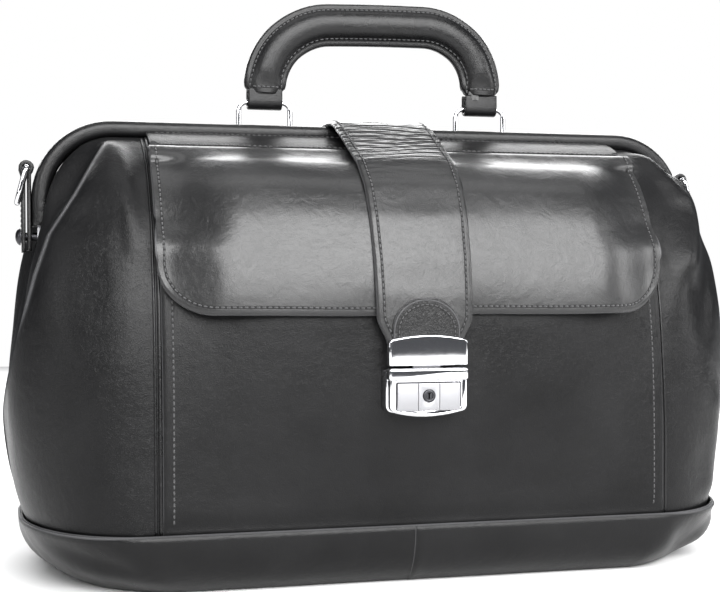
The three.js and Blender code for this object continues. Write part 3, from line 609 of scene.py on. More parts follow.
# Soft folds of the leather, each from, to, width and height. The left and right have their own.
FRONT_FOLDS = [
    ((-160, -24, 238), (-144, -72, 186), 9, 3.4),
    ((-143, -26, 244), (-143, -60, 212), 6, -2.6),
    ((-170, -56, 196), (-168, -78, 140), 14, -1.8),
    ((-160, -84, 150), (-178, -76, 90), 22, 1.6),
    ((-190, -50, 150), (-200, -40, 90), 24, 1.6),
    ((160, -20, 245), (176, -46, 214), 7, 3.6),
    ((186, -26, 222), (172, -72, 176), 9, 4.4),
    ((172, -72, 176), (160, -86, 150), 9, 2.4),
    ((166, -52, 222), (156, -76, 186), 8, -2.6),
    ((196, -40, 190), (182, -74, 140), 10, -2.6),
    ((176, -80, 130), (186, -76, 80), 18, 2.0),
    ((190, -58, 90), (184, -62, 40), 12, 3.0),
]
BACK_FOLDS = [
    ((-166, 32, 248), (-184, 56, 200), 9, 4.4),
    ((-184, 56, 200), (-200, 68, 150), 14, 5.0),
    ((-176, 42, 232), (-190, 76, 186), 7, -3.4),
    ((-190, 80, 170), (-198, 70, 110), 14, -2.6),
    ((166, 32, 248), (186, 58, 204), 9, 4.6),
    ((186, 58, 204), (200, 66, 150), 14, 4.4),
    ((156, 36, 246), (168, 76, 205), 8, 3.0),
    ((190, 78, 180), (198, 74, 120), 14, -2.8),
    ((60, 80, 190), (120, 96, 120), 26, 1.8),
    ((-40, 84, 180), (-100, 98, 110), 24, -1.6),
    ((20, 90, 90), (-60, 100, 60), 20, 1.2),
]
GROOVE_DEEP = 14.0  # how far the side folds in between the two halves, at the hinge
# The leather is drawn in beside the front frame's legs, more at the left: height and half-width.
DRAWN_IN = [
    (100, 222), (122, 214), (150, 205.5), (168, 200.5), (190, 193), (212, 179), (230, 169), (240, 163),
    (247, 158),
]
DRAWN_IN_RIGHT = [(100, 222), (150, 222), (190, 204), (212, 197), (230, 189), (240, 183), (247, 178)]


def draw_in(q, back):
    """Gathers the leather inwards below the frame's corners, to a crisp fold that runs down from each."""
    if back:
        return q
    for sign, table in ((-1, DRAWN_IN), (1, DRAWN_IN_RIGHT)):
        heights, widths = zip(*table)
        limit = np.interp(q[..., 2], heights, widths)
        over = sign * q[..., 0] - limit
        softness = 2.2
        past = softness * np.logaddexp(0.0, over / softness)
        ahead = smooth((HINGE_Y - MOUTH_Y - 1.5 - q[..., 1]) / 15)
        q[..., 0] -= sign * past * ahead * (sign * q[..., 0] > 0)
    return q


def folded(p, back=False):
    """The body's face with its folds, for points from body_grid."""
    normal = grid_normals(p)
    outward = np.stack([p[..., 0], p[..., 1] - HINGE_Y, 0 * p[..., 2]], -1)
    normal = normal * np.sign((normal * outward).sum(-1, keepdims=True) + 1e-9)
    height = np.zeros(p.shape[:2])
    for a, b, width, rise in BACK_FOLDS if back else FRONT_FOLDS:
        distance = segment_distance(p, a, b)
        height += rise * np.exp(-((distance / width) ** 2))
    height += 1.0 * wobble(p, 46.0, 0.7 if back else 2.1) * smooth((p[..., 2] - 36) / 30)
    at_side = smooth((np.abs(p[..., 0]) - 145) / 20)
    height += 0.5 * wobble(p, 21.0, 3.1) * at_side * smooth((p[..., 2] - 36) / 30)
    seam = smooth(np.abs(np.abs(p[..., 0]) - SEAM_X) / 12) * 0.6 + 0.4
    attached = smooth((MOUTH_TOP + 2 - p[..., 2]) / 12) * smooth((p[..., 2] - BASE_TOP) / 14)
    q = p + normal * (height * seam * attached)[..., None]
    q = draw_in(q, back)
    # the side folds in towards the hinge
    across = (p[..., 1] - HINGE_Y) / mix(11, 28, smooth((200 - p[..., 2]) / 90))
    groove = GROOVE_DEEP * np.exp(-(across**2)) * smooth((p[..., 2] - 84) / 90)
    groove = groove * smooth((np.abs(p[..., 0]) - 170) / 14)
    q[..., 0] -= np.sign(p[..., 0]) * groove
    return q


def crease_highlight_share(q):
    """How near each point is to the crisp fold at the front's left corner, from 0 to 1, for the painted
    highlight along that fold.
    """
    heights, widths = zip(*DRAWN_IN)
    limit = np.interp(q[..., 2], heights, widths)
    near = np.exp(-(((-q[..., 0] - limit + 0.9) / 0.8) ** 2))
    lip = smooth((q[..., 2] - 128) / 30) * smooth((246 - q[..., 2]) / 8)
    return near * lip * (q[..., 1] < HINGE_Y - 34)


def body_half(name, back, material, inset=0.0, s_steps=420, v_steps=110, v_top=1.0, thick=LEATHER):
    s = np.linspace(-1.035, 1.035, s_steps)
    v = np.linspace(0.0, v_top, v_steps)
    s2, v2 = np.meshgrid(s, v, indexing="ij")
    p = folded(body_grid(np.clip(s2, -1, 1), v2, back), back)
    # the halves lap over each other a little where they meet at the side's middle
    past = np.maximum(np.abs(s2) - 1, 0) * 150
    p[..., 1] += past * (-1 if back else 1)
    if back:
        p[..., 0] -= np.sign(p[..., 0]) * 1.4 * smooth((np.abs(s2) - 0.88) / 0.1)
    side = -1 if back else 1
    normal = grid_normals(p) * side
    if inset:
        p = p - normal * inset
    obj = sheet_mesh(name, p, thick, material, side=side)
    # the front's crisp fold gets a paler line in the rubbed-edge colour: a painted highlight along its ridge
    if not back and not inset:
        edge_paint_and_highlight = np.zeros(len(obj.data.vertices), np.float32)
        edge_paint_and_highlight[: p.shape[0] * p.shape[1]] = 0.9 * crease_highlight_share(p).reshape(-1)
        obj.data.attributes["edge"].data.foreach_set("value", edge_paint_and_highlight)
    return obj


def bends_with(obj):
    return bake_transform(obj)


# ---- Building: the leather body ----
front_shell = body_half("front_body_leather", False, BODY)
back_shell = body_half("back_body_leather", True, BODY)
front_surface, back_surface = Surface(front_shell), Surface(back_shell)

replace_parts(front_shell, "front_panel", "front_mouth_leather", "side_panel_left")
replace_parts(back_shell, "back_panel", "back_mouth_leather", "side_panel_right")

# The three cords of a seam: its label, its place across the seam, its radius and its lift.
SEAM_PIPES = (("", 0.0, 1.15, 0.15), ("b", -2.6, 0.8, 0.0), ("c", 2.6, 0.8, 0.0))

linings = []
for lining_name, back in (("front_lining", False), ("back_lining", True)):
    linings.append(body_half(
        lining_name, back, LINING,
        inset=LEATHER + LINING_GAP, s_steps=120, v_steps=40, v_top=SEAM_END, thick=0.9,
    ))
lining_front, lining_back = linings
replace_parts(lining_front, "lining_front", "lining_left")
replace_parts(lining_back, "lining_back", "lining_right")


def seam_line(sign, back, offset=0.0, v0=0.0, v1=1.0):
    """The vertical seam between the front or back panel and a side, moved sideways by offset."""
    v = np.linspace(v0, v1, 90)
    shift = 0.0 if back else FRONT_SHIFT
    s = sign * (STRAIGHT + (offset + sign * shift) / FRONT_RUN)
    return body_grid(np.full_like(v, s), v, back)


for back, surface, half_name in ((False, front_surface, "front"), (True, back_surface, "back")):
    out = (0, 1 if back else -1, 0.15)
    lines = []
    pipes = []
    for sign in (-1, 1):
        for label, offset, radius, lift in SEAM_PIPES:
            line = seam_line(sign, back, offset, 0.0, SEAM_END)
            pipes.append(piping(f"{half_name}_seam_{label}{sign}", surface, line, radius, TRIM, lift, out))
        if back:
            lines.append(seam_line(sign, back, 5.6, 0.015, 0.97))
        lines.append(seam_line(sign, back, -5.4, 0.015, 0.97))
    seams = join(f"{half_name}_seam_piping", pipes)
    sewn = stitching(f"{half_name}_seam_stitching", surface, lines, toward=out)
    for obj in (seams, sewn):
        bends_with(obj)
for obj, back in ((front_shell, False), (back_shell, True), (lining_front, False), (lining_back, True)):
    bends_with(obj)


# ---- Building: the base ----
# Folds where the band's leather gathers round the corners.
BAND_FOLDS = [
    ((192, -52, 17), (182, -60, 10), 9, 10.0),
    ((203, -24, 26), (192, -36, 8), 8, -3.0),
    ((158, -80, 24), (170, -66, 8), 9, -3.0),
    ((-200, -44, 22), (-150, -80, 8), 8, 2.6),
    ((-190, -64, 26), (-156, -86, 14), 6, -2.4),
    ((-204, -20, 20), (-180, -52, 6), 7, 2.2),
    ((196, 74, 20), (180, 88, 12), 9, 3.5),
    ((-196, 74, 20), (-180, 88, 12), 9, 4.0),
]


def band_grid(u, w, proud=1.2):
    """The base band's outer face. u goes round from the back's middle by the right side; w goes up."""
    u, w = np.broadcast_arrays(np.asarray(u, float), np.asarray(w, float))
    turn = np.mod(u, 1.0) * 4
    quarter = np.floor(turn)
    inside = turn - quarter
    walk = np.where(quarter % 2 == 0, 1 - inside, inside)
    straight = 0.48
    corner = base_corner(np.clip(walk / (1 - straight), 0, 1))
    middle_x = mix(SEAM_X, 0, np.clip((walk - 1 + straight) / straight, 0, 1))
    x = np.where(walk < 1 - straight, corner[..., 0], middle_x)
    y = corner[..., 1]
    angle = w * math.pi / 2
    # the foot is full along the front and back, and drawn in at the corners
    corner_share = smooth((np.abs(x) - SEAM_X) / 30) * smooth(-y / 30)
    rise = mix(np.sin(angle), w, 0.75 * corner_share)
    shrink_x = 1 - (1 - FOOT_X / BASE_HALF_X) * (1 - rise)
    shrink_y = 1 - (1 - FOOT_Y / BASE_HALF_Y) * (1 - rise)
    out_x = x * shrink_x * (1 + proud * 1.4 * rise / BASE_HALF_X)
    out_y = y * shrink_y * (1 + proud * 2.6 * rise / BASE_HALF_Y)
    sign_x = np.where((quarter == 0) | (quarter == 1), 1.0, -1.0)
    sign_y = np.where((quarter == 1) | (quarter == 2), 1.0, -1.0)
    z = BASE_TOP * (1 - np.cos(angle)) + 0.4
    p = np.stack([sign_x * out_x, sign_y * out_y + HINGE_Y, z], -1)
    # the leather bulges over the stiffener, and gathers at the corners
    full = np.sin(np.clip(w, 0, 1) * math.pi)
    bulge = 0.6 * full + 0.7 * full * wobble(p, 38.0, 4.2)
    for a, b, width, high in BAND_FOLDS:
        distance = segment_distance(p, a, b)
        bulge = bulge + high * np.exp(-((distance / width) ** 2)) * full
    radial = unit(np.stack([p[..., 0] * (np.abs(p[..., 0]) > 140), (p[..., 1] - HINGE_Y), 0 * z], -1))
    return p + radial * bulge[..., None]


def half_band(name, start):
    u = start + np.linspace(-0.0012, 0.5012, 220)
    w = np.linspace(0.0, 1.0, 20)
    u2, w2 = np.meshgrid(u, w, indexing="ij")
    p = band_grid(u2, w2)
    # one half laps over the other where they are sewn
    lap = smooth(1 - np.minimum(np.abs(u2 - start), np.abs(u2 - start - 0.5)) / 0.006)
    p[..., 1] += np.sign(p[..., 1] - HINGE_Y) * lap * (0.7 if start == 0 else -0.3)
    return sheet_mesh(name, p, LEATHER, SIDES, side=1)


band_right = half_band("base_band_right_leather", 0.0)
band_left = half_band("base_band_left_leather", 0.5)
band_surface = Surface(band_left, band_right)
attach(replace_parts(band_right, "base_band_right"), "bag")
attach(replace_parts(band_left, "base_band_left"), "bag")

u_round = np.linspace(0, 1, 500)
top_edge = band_grid(u_round, 1.0)
welt = tube("base_welt", evenly(top_edge, 3.0)[:-1] + np.array([0, 0, 0.2]), 0.75, EDGE_PAINT_AND_HIGHLIGHT, sides=8, closed=True)
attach(welt, "bag")
band_stitches = stitching("base_band_stitching", band_surface, [band_grid(u_round, 0.87)], toward=None)
centre_lines = []
for u_seam in (0.0, 0.5):
    for offset in (-0.0042, 0.0042):
        centre_lines.append(band_grid(np.full(30, u_seam + offset), np.linspace(0.12, 0.9, 30)))
centre_stitches = stitching("base_seam_stitching", band_surface, centre_lines)
for obj in (band_stitches, centre_stitches):
    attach(obj, "bag")


def floor_outline(inset, count=160):
    u = np.linspace(0, 1, count, endpoint=False)
    p = band_grid(u, 0.0)
    direction = unit((p - np.array([0, HINGE_Y, 0])) * np.array([1, 1, 0]))
    return p - direction * inset


def pillow(name, inset, z_low, z_high, material):
    """A flat panel of leather or cloth with rounded edges, from its middle out to the band."""
    outline = floor_outline(inset)
    rings = [
        (0.0, z_high), (0.5, z_high), (0.9, z_high), (0.985, z_high - 0.25), (1.0, (z_low + z_high) / 2),
        (0.985, z_low + 0.25), (0.9, z_low), (0.0, z_low),
    ]
    centre = np.array([0, HINGE_Y, 0])
    verts = []
    count = len(outline)
    for share, z in rings:
        ring = centre + (outline - centre) * max(share, 0.02)
        ring[:, 2] = z
        verts += list(ring)
    faces = ring_faces(len(rings), count) + end_caps(len(rings), count)
    return fix_normals(new_object(name, verts, faces, material))


bottom = pillow("bottom_leather", 1.0, 0.02, 2.3, SIDES)
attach(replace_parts(bottom, "bottom_panel"), "bag")
inner_floor = pillow("lining_floor_cloth", 4.0, 6.1, 7.3, LINING)
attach(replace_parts(inner_floor, "lining_floor"), "bag")


# ---- Building: the frame ----
def u_path(leg_x, top_z, corner, end_z, y, steps=16):
    cx, cz = leg_x - corner, top_z - corner
    left = arc((-cx, y, cz), (-1, 0, 0), (0, 0, 1), corner, steps=steps)
    right = arc((cx, y, cz), (0, 0, 1), (1, 0, 0), corner, steps=steps)
    legs = np.linspace(end_z, cz, 8)[:-1]
    top = np.linspace(-cx, cx, 60)[1:-1]
    return np.concatenate([
        [(-leg_x, y, z) for z in legs], left, [(x, y, top_z) for x in top], right,
        [(leg_x, y, z) for z in legs[::-1]],
    ])


FRAME_X, FRAME_TOP, FRAME_CORNER = 195.2, 251.5, 40.0
for name, back in (("front", False), ("back", True)):
    low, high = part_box(f"{name}_frame_cover")
    middle, half = (low.y + high.y) / 2 / MM, (high.y - low.y) / 2 / MM
    path = u_path(FRAME_X, FRAME_TOP, FRAME_CORNER, 196.0, middle)
    # the back's leather is a little thicker, over the bars of the handle's rings
    cover = sweep(f"{name}_frame_leather", path, rounded_box_outline(half, 5.2 if back else 4.7, 3.8), TRIM)
    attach(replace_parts(cover, f"{name}_frame_cover"), f"{name}_frame")

# ---- Building: the pocket ----
POCKET_HALF, POCKET_TOP, POCKET_THICK = 140.6, 181.0, 1.8


def pocket_y(x, z):
    """The pocket's outer face, about the hinge line."""
    middle = -101.4 - 7.0 * smooth((z - BASE_TOP) / 85) + 4.2 * smooth((z - 140) / 40)
    v = np.interp(z, seam_z, seam_v)
    edge = corner_surface(np.full_like(np.asarray(z, float), 1.0), v, FRONT_SHOULDER)[..., 1] - 2.2
    edge = np.minimum(edge, middle + 16)
    return mix(middle, np.maximum(edge, middle), smooth((np.abs(x) - 62) / 80) ** 1.3)


seam_v = np.linspace(0, 1, 200)
seam_y, seam_z = corner_surface(np.full_like(seam_v, 1.0), seam_v, FRONT_SHOULDER)[..., 1:].T


def pocket_grid(x, z):
    x, z = np.broadcast_arrays(np.asarray(x, float), np.asarray(z, float))
    p = np.stack([x + FRONT_SHIFT, pocket_y(x, z) + HINGE_Y, z], -1)
    p[..., 1] += -0.9 * wobble(p, 60.0, 1.3) * smooth((POCKET_HALF - np.abs(x)) / 20) * smooth((z - 36) / 20)
    p[..., 1] += 1.2 * np.exp(-(((z - 36) / 5) ** 2))
    return p


pocket_x, pocket_up = np.linspace(-POCKET_HALF, POCKET_HALF, 110), np.linspace(32.6, POCKET_TOP, 60)
x2, z2 = np.meshgrid(pocket_x, pocket_up, indexing="ij")
pocket = sheet_mesh("pocket_front_leather", pocket_grid(x2, z2), POCKET_THICK, BODY, side=1)
pocket_z = np.linspace(38, POCKET_TOP - 4, 60)
pocket_stitches = stitching(
    "pocket_stitching", Surface(pocket),
    [pocket_grid(np.full(60, sign * 135.5), pocket_z) for sign in (-1, 1)]
    + [pocket_grid(np.linspace(-135, 135, 90), np.full(90, POCKET_TOP - 4.0))],
    toward=(0, -1, 0),
)
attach(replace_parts(pocket, "pocket_front"), "bag")
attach(pocket_stitches, "bag")

for sign, side in ((-1, "left"), (1, "right")):
    u, w = np.meshgrid(np.linspace(0, 1, 9), np.linspace(60, POCKET_TOP - 1, 40), indexing="ij")
    outer = pocket_y(np.full_like(w, 138.0), w) + POCKET_THICK + 0.5
    v = np.interp(w, seam_z, seam_v)
    inner = corner_surface(np.full_like(w, 1.0), v, FRONT_SHOULDER)[..., 1] - 0.4
    fold = 2.6 * np.sin(u * math.pi)
    p = np.stack([sign * (138.4 - fold) + FRONT_SHIFT, mix(outer, inner, u) + HINGE_Y, w], -1)
    gusset = sheet_mesh(f"pocket_gusset_{side}_leather", p, 1.2, BODY, side=sign)
    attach(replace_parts(gusset, f"pocket_gusset_{side}"), "bag")

# ---- Building: the flap ----
FLAP_HALF, FLAP_BOTTOM, FLAP_CORNER, FLAP_THICK = 142.0, 147.6, 27.0, 2.1
FLAP_LINE = [
    (-43.5, 238.2), (-48, 238.2), (-62, 234), (-78, 227), (-91.5, 215.5), (-101.5, 198.5), (-108.8, 176),
    (-111.6, 160), (-112.2, FLAP_BOTTOM),
]


def rounded_line(points, reach, count=400):
    """A line through points in the Y-Z plane, eased at its corners over this many of its count steps."""
    fine = along([(0, y, z) for y, z in points])(np.linspace(0, 1, count))
    kernel = np.ones(2 * reach + 1) / (2 * reach + 1)
    first, last = fine[0], fine[-1]
    before = first + (fine[1] - first) * np.arange(-reach, 0)[:, None]
    after = last + (last - fine[-2]) * np.arange(1, reach + 1)[:, None]
    held = np.concatenate([before, fine, after])
    return np.stack([np.convolve(held[:, k], kernel, "valid") for k in range(3)], -1)


flap_run = along(rounded_line(FLAP_LINE, 26))


def flap_profile(v):
    return flap_run(np.asarray(v, float))


def flap_grid(x, v):
    """The flap's outer face: x across, v from its sewn edge (0) to its free edge (1)."""
    x, v = np.broadcast_arrays(np.asarray(x, float), np.asarray(v, float))
    p = flap_profile(v).copy()
    p[..., 0] = x + FRONT_SHIFT - 0.6
    ease = smooth(v / 0.25)
    edge = smooth((np.abs(x) - 96) / 46)
    # its sides lie down on the bag's shoulder, and further down on the pocket
    height = p[..., 2]
    on_body = np.interp(height, seam_z, seam_y) - 4.6
    on_pocket = pocket_y(np.minimum(np.abs(x), 138.0), np.minimum(height, POCKET_TOP)) - 3.4
    bed = mix(on_pocket, on_body, smooth((height - POCKET_TOP + 4) / 22))
    p[..., 1] = mix(p[..., 1], np.maximum(p[..., 1], bed), 0.9 * edge * smooth((v - 0.06) / 0.2))
    # the rolled edge at its top, and the hollow below it
    p[..., 2] += 2.0 * np.exp(-(((v - 0.05) / 0.035) ** 2)) - 0.9 * np.exp(-(((v - 0.16) / 0.05) ** 2))
    p[..., 1] += -1.0 * ease * wobble(p, 52.0, 3.3)
    p[..., 2] += 0.7 * ease * wobble(p, 44.0, 5.1)
    p[..., 1] += HINGE_Y
    return p


FLAP_LENGTH = polyline_length(flap_profile(np.linspace(0, 1, 60)))


def flap_end(x, inset=0.0):
    """How far down the flap reaches at this x, as a share of its length, with rounded corners."""
    past = np.maximum(np.abs(x) - (FLAP_HALF - FLAP_CORNER), 0)
    r = FLAP_CORNER - inset
    rise = FLAP_CORNER - np.sqrt(np.maximum(r**2 - np.minimum(past, r) ** 2, 0))
    return 1 - rise / FLAP_LENGTH


FLAP_X = FLAP_HALF * np.sin(np.linspace(-0.5, 0.5, 140) * math.pi * 0.985) / math.sin(0.4925 * math.pi)
v_share = np.linspace(0, 1, 56)
x2, w2 = np.meshgrid(FLAP_X, v_share, indexing="ij")
flap = sheet_mesh("pocket_flap_leather", flap_grid(x2, w2 * flap_end(x2)), FLAP_THICK, SMOOTH, side=-1)
flap_surface = Surface(flap)


def flap_border(inset):
    half = FLAP_HALF - inset
    corner = FLAP_CORNER - inset
    down = np.linspace(0.05, 1 - FLAP_CORNER / FLAP_LENGTH, 60)
    left = flap_grid(np.full_like(down, -half), down)
    angle = np.linspace(0, math.pi / 2, 16)
    turn_x = -(FLAP_HALF - FLAP_CORNER) - corner * np.cos(angle)
    turn_v = 1 - (FLAP_CORNER - corner * np.sin(angle)) / FLAP_LENGTH
    turn = flap_grid(turn_x, turn_v)
    run_x = np.linspace(turn_x[-1], -turn_x[-1], 120)
    run = flap_grid(run_x, np.full_like(run_x, turn_v[-1]))
    right_turn = flap_grid(-turn_x[::-1], turn_v[::-1])
    right = flap_grid(np.full_like(down, half), down[::-1])
    return np.concatenate([left, turn, run, right_turn, right])


flap_stitches = stitching("flap_stitching", flap_surface, [flap_border(3.1)], toward=(0, -0.7, 0.3))

# the band of leather between the frame and the flap, laid on the bag's shoulder
shoulder_v = np.linspace(0.6, 1, 200)
shoulder_line = corner_surface(np.full_like(shoulder_v, 1.0), shoulder_v, FRONT_SHOULDER)


def shoulder_grid(x, reach, lift):
    """Points on the shoulder at this reach forward of the hinge line, lifted off it."""
    x, reach = np.broadcast_arrays(np.asarray(x, float), np.asarray(reach, float))
    z = np.interp(reach, -shoulder_line[::-1, 1], shoulder_line[::-1, 2])
    return np.stack([x, HINGE_Y - reach, z + lift], -1)


BAND_HALF = 141.0
x2, w2 = np.meshgrid(np.linspace(-BAND_HALF, BAND_HALF, 100), np.linspace(0, 1, 14), indexing="ij")
round_end = 1 - 0.35 * smooth((np.abs(x2) - 128) / 10) ** 2
band_reach = 16.5 + 31.0 * w2 * round_end
flap_band = sheet_mesh("flap_sewn_band", shoulder_grid(x2 + FRONT_SHIFT, band_reach, 2.0), 1.4, BODY, side=1)
band_x = np.linspace(-BAND_HALF + 4, BAND_HALF - 4, 140)
flap_band_stitches = stitching(
    "flap_band_stitching", Surface(flap_band),
    [shoulder_grid(band_x + FRONT_SHIFT, np.full(140, reach), 2.2) for reach in (19.5, 39.5)],
    toward=(0, 0, 1),
)


def bends_between(objs):
    """Bakes each piece's transform into its mesh."""
    for obj in objs:
        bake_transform(obj)


bends_between((flap, flap_stitches))
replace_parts(flap, "pocket_flap")
for obj in (flap_band, flap_band_stitches):
    bends_with(obj)

# ---- Building: the strap ----
STRAP_THICK = 2.4
STRAP_LINE = [
    (-26, 257.6), (-42, 250), (-60, 240.6), (-80, 231), (-94.8, 217.6), (-104.9, 199.6), (-112.2, 176.6),
    (-115.4, 158.4), (-116.4, 145), (-116.4, 133), (-116.4, 121.6),
]


def strap_centre_line():
    """The strap's face along its middle, from its tail at the back, over the frame, down to the hasp."""
    back_v = np.linspace(shoulder_share(206.0), 0.965, 24)
    tail = corner_surface(np.full_like(back_v, 1.0), back_v, BACK_SHOULDER)
    tail[:, 1] = -tail[:, 1]
    normals = unit(np.stack([0 * back_v, np.gradient(tail[:, 2]), -np.gradient(tail[:, 1])], -1))
    tail = tail + normals * 3.2
    over = ((17.0, 0.2), (10.0, 0.4), (0, 0), (-10.0, 0.2), (-16.0, 0.1))
    top = [(0, y, STRAP_TOP + rise) for y, rise in over]
    raw = np.concatenate([tail, top, [(0, y, z) for y, z in STRAP_LINE]])
    raw[:, 0] = 0
    fine = along(raw)(np.linspace(0, 1, 420))
    kernel = np.ones(13) / 13
    padded_line = np.concatenate([np.repeat(fine[:1], 6, 0), fine, np.repeat(fine[-1:], 6, 0)])
    return np.stack([np.convolve(padded_line[:, k], kernel, "valid") for k in range(3)], -1)


def shoulder_share(z):
    v = np.linspace(0, 1, 300)
    return float(np.interp(z, corner_surface(np.full_like(v, 1.0), v, BACK_SHOULDER)[..., 2], v))


strap_line = strap_centre_line()
steps = np.linalg.norm(np.diff(strap_line, axis=0), axis=1)
strap_s = np.concatenate([[0], np.cumsum(steps)])
STRAP_LENGTH = strap_s[-1]


def strap_point(s):
    return np.stack([np.interp(s, strap_s, strap_line[:, k]) for k in range(3)], -1)


def strap_frame(s):
    """Points on the strap's middle line and the direction out from its face."""
    t = unit(strap_point(np.clip(s + 1, 0, STRAP_LENGTH)) - strap_point(np.clip(s - 1, 0, STRAP_LENGTH)))
    return strap_point(s), np.stack([0 * s, t[..., 2], -t[..., 1]], -1)


top_mid = float(np.interp(0, -strap_line[:, 1], strap_s))  # where the strap crosses the hinge line
tail_end = float(np.interp(-40, -strap_line[:, 1], strap_s))
front_edge = float(np.interp(16, -strap_line[:, 1], strap_s))


def strap_half_width(s):
    down = np.clip((s - front_edge) / (STRAP_LENGTH - front_edge), 0, 1)
    width = mix(29.5, 25.6, down ** 0.8)
    width = mix(width, 20.3, smooth((down - 0.875) / 0.085))
    return width


def strap_grid(s, u):
    """The strap's outer face with its wrinkles. u goes across from -1 to 1."""
    s, u = np.broadcast_arrays(np.asarray(s, float), np.asarray(u, float))
    p, n = strap_frame(s)
    n = np.where(n[..., 2:3] < -0.5, -n, n)
    p = p.copy()
    p[..., 0] = u * strap_half_width(s)
    after = s - front_edge
    near = np.exp(-(((after - 30) / 34) ** 2))
    ripple = np.sin(after * 1.0 + 2.2 * np.sin(u * 2.9 + after * 0.11) + 0.8 * u)
    ripple += 0.7 * np.sin(after * 1.75 - 2.4 * u + 1.9 * np.sin(4.1 * u + 0.4 + after * 0.05) + 0.7)
    ripple += 0.45 * np.sin(after * 2.9 + 5.1 * u + 1.3 * np.sin(7.0 * u))
    height = 0.2 * ripple * near + 0.5 * wobble(p, 30.0, 6.0) * smooth(after / 40)
    height += -0.9 * np.abs(u) ** 6
    p += n * height[..., None]
    p[..., 1] += HINGE_Y
    return p


def strap_piece(name, s0, s1, rows, material=SMOOTH):
    s = np.linspace(s0, s1, rows)
    u = np.linspace(-1, 1, 45)
    u2, s2 = np.meshgrid(u, s, indexing="ij")
    return sheet_mesh(name, strap_grid(s2, u2), STRAP_THICK, material, side=-1)


tail_piece = strap_piece("strap_tail_leather", 0.0, tail_end, 30)
over_piece = strap_piece("strap_over_leather", tail_end, top_mid, 40)
front_piece = strap_piece("strap_front_leather", top_mid, STRAP_LENGTH, 300)


def strap_lines(s0, s1, inset=3.2):
    s = np.linspace(s0, s1, 160)
    return [strap_grid(s, sign * (1 - inset / strap_half_width(s))) for sign in (-1, 1)]


tail_end_line = strap_grid(np.full(30, 3.5), np.linspace(-0.88, 0.88, 30))
tail_lines = strap_lines(3.5, tail_end) + [tail_end_line]
tail_stitches = stitching("strap_tail_stitching", Surface(tail_piece), tail_lines, toward=(0, 0.5, 0.6))
over_lines = strap_lines(tail_end + 1, top_mid - 1)
over_stitches = stitching("strap_over_stitching", Surface(over_piece), over_lines, toward=(0, 0.2, 1))
front_lines = strap_lines(top_mid + 1, STRAP_LENGTH - 2)
front_stitches = stitching("strap_front_stitching", Surface(front_piece), front_lines, toward=(0, -0.6, 0.5))

for obj in (tail_piece, tail_stitches):
    bends_with(obj)
bends_between(
    (over_piece, over_stitches),
)
bends_between(
    (front_piece, front_stitches),
)
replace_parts(tail_piece, "strap_tail")
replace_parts(over_piece, "strap_top")
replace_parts(front_piece, "strap_front")

# ---- Building: the pebbled patch, the hasp and the lock ----
PATCH_HALF, PATCH_TOP_Z = 18.0, 155.0


def patch_share(z):
    front = strap_s > front_edge + 40
    return float(np.interp(-z, -strap_line[front][:, 2], strap_s[front]))


patch_s0, patch_s1 = patch_share(PATCH_TOP_Z), patch_share(122.6)
u2, w2 = np.meshgrid(np.linspace(-1, 1, 31), np.linspace(0, 1, 40), indexing="ij")
s2 = patch_s0 + (patch_s1 - patch_s0) * w2
round_top = np.sqrt(np.clip(1 - (1 - np.clip((s2 - patch_s0 + 0.8) / 16.0, 0, 1)) ** 2, 0, 1))
patch_p = strap_grid(s2, u2 * round_top * PATCH_HALF / strap_half_width(s2))
_, patch_n = strap_frame(s2)
patch_p = patch_p + np.where(patch_n[..., 1:2] > 0, -patch_n, patch_n) * 1.9
strap_patch = sheet_mesh("strap_patch_leather", patch_p, 1.7, PEBBLED, side=-1)


def patch_border(inset):
    half = PATCH_HALF - inset
    r = 16.0 - inset
    top = patch_s0 + inset
    angle = np.linspace(math.pi, 0, 40)
    arch_u = half * np.cos(angle)
    arch_s = top + r * (1 - np.sin(angle))
    low = np.linspace(patch_s1 - 1, top + r, 16)
    s = np.concatenate([low, arch_s, low[::-1]])
    x = np.concatenate([np.full(16, -half), arch_u, np.full(16, half)])
    return strap_grid(s, x / strap_half_width(s))


patch_face = Surface(strap_patch)
patch_stitches = stitching(
    "strap_patch_stitching", patch_face, [patch_border(2.6)], pitch=2.6, length=1.9, r=0.3, toward=(0, -1, 0)
)
rim_line = patch_border(0.2)
patch_rim = piping("strap_patch_edge", patch_face, rim_line, 0.55, EDGE_PAINT_AND_HIGHLIGHT, -0.35, (0, -1, 0), pitch=2.0)
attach(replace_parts(strap_patch, "strap_patch"), "strap_end")
for obj in (patch_stitches, patch_rim):
    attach(obj, "strap_end")


def arched_outline(half, z0, z1, arch, r=1.6):
    """A plate's outline with a straight foot and an arched top."""
    points = [(-half + r * 0.3, z0), (-half, z0 + r * 0.3)]
    points += [(-half, z1 - arch - r), (-half + r * 0.3, z1 - arch - r * 0.3)]
    x = np.linspace(-half + r, half - r, 26)
    points += [(float(a), float(z1 - arch * (a / half) ** 2)) for a in x]
    points += [(half - r * 0.3, z1 - arch - r * 0.3), (half, z1 - arch - r)]
    points += [(half, z0 + r * 0.3), (half - r * 0.3, z0)]
    return points


def bowed(obj, depth, half):
    """Bends a plate so that its middle stands forward of its ends."""
    for v in obj.data.vertices:
        v.co.y += depth * MM * (v.co.x / (half * MM)) ** 2
    obj.data.update()
    return obj


def box_mm(node_name):
    """The low and high corners of a CAD node, in millimetres."""
    return (np.array(corner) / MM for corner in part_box(node_name))


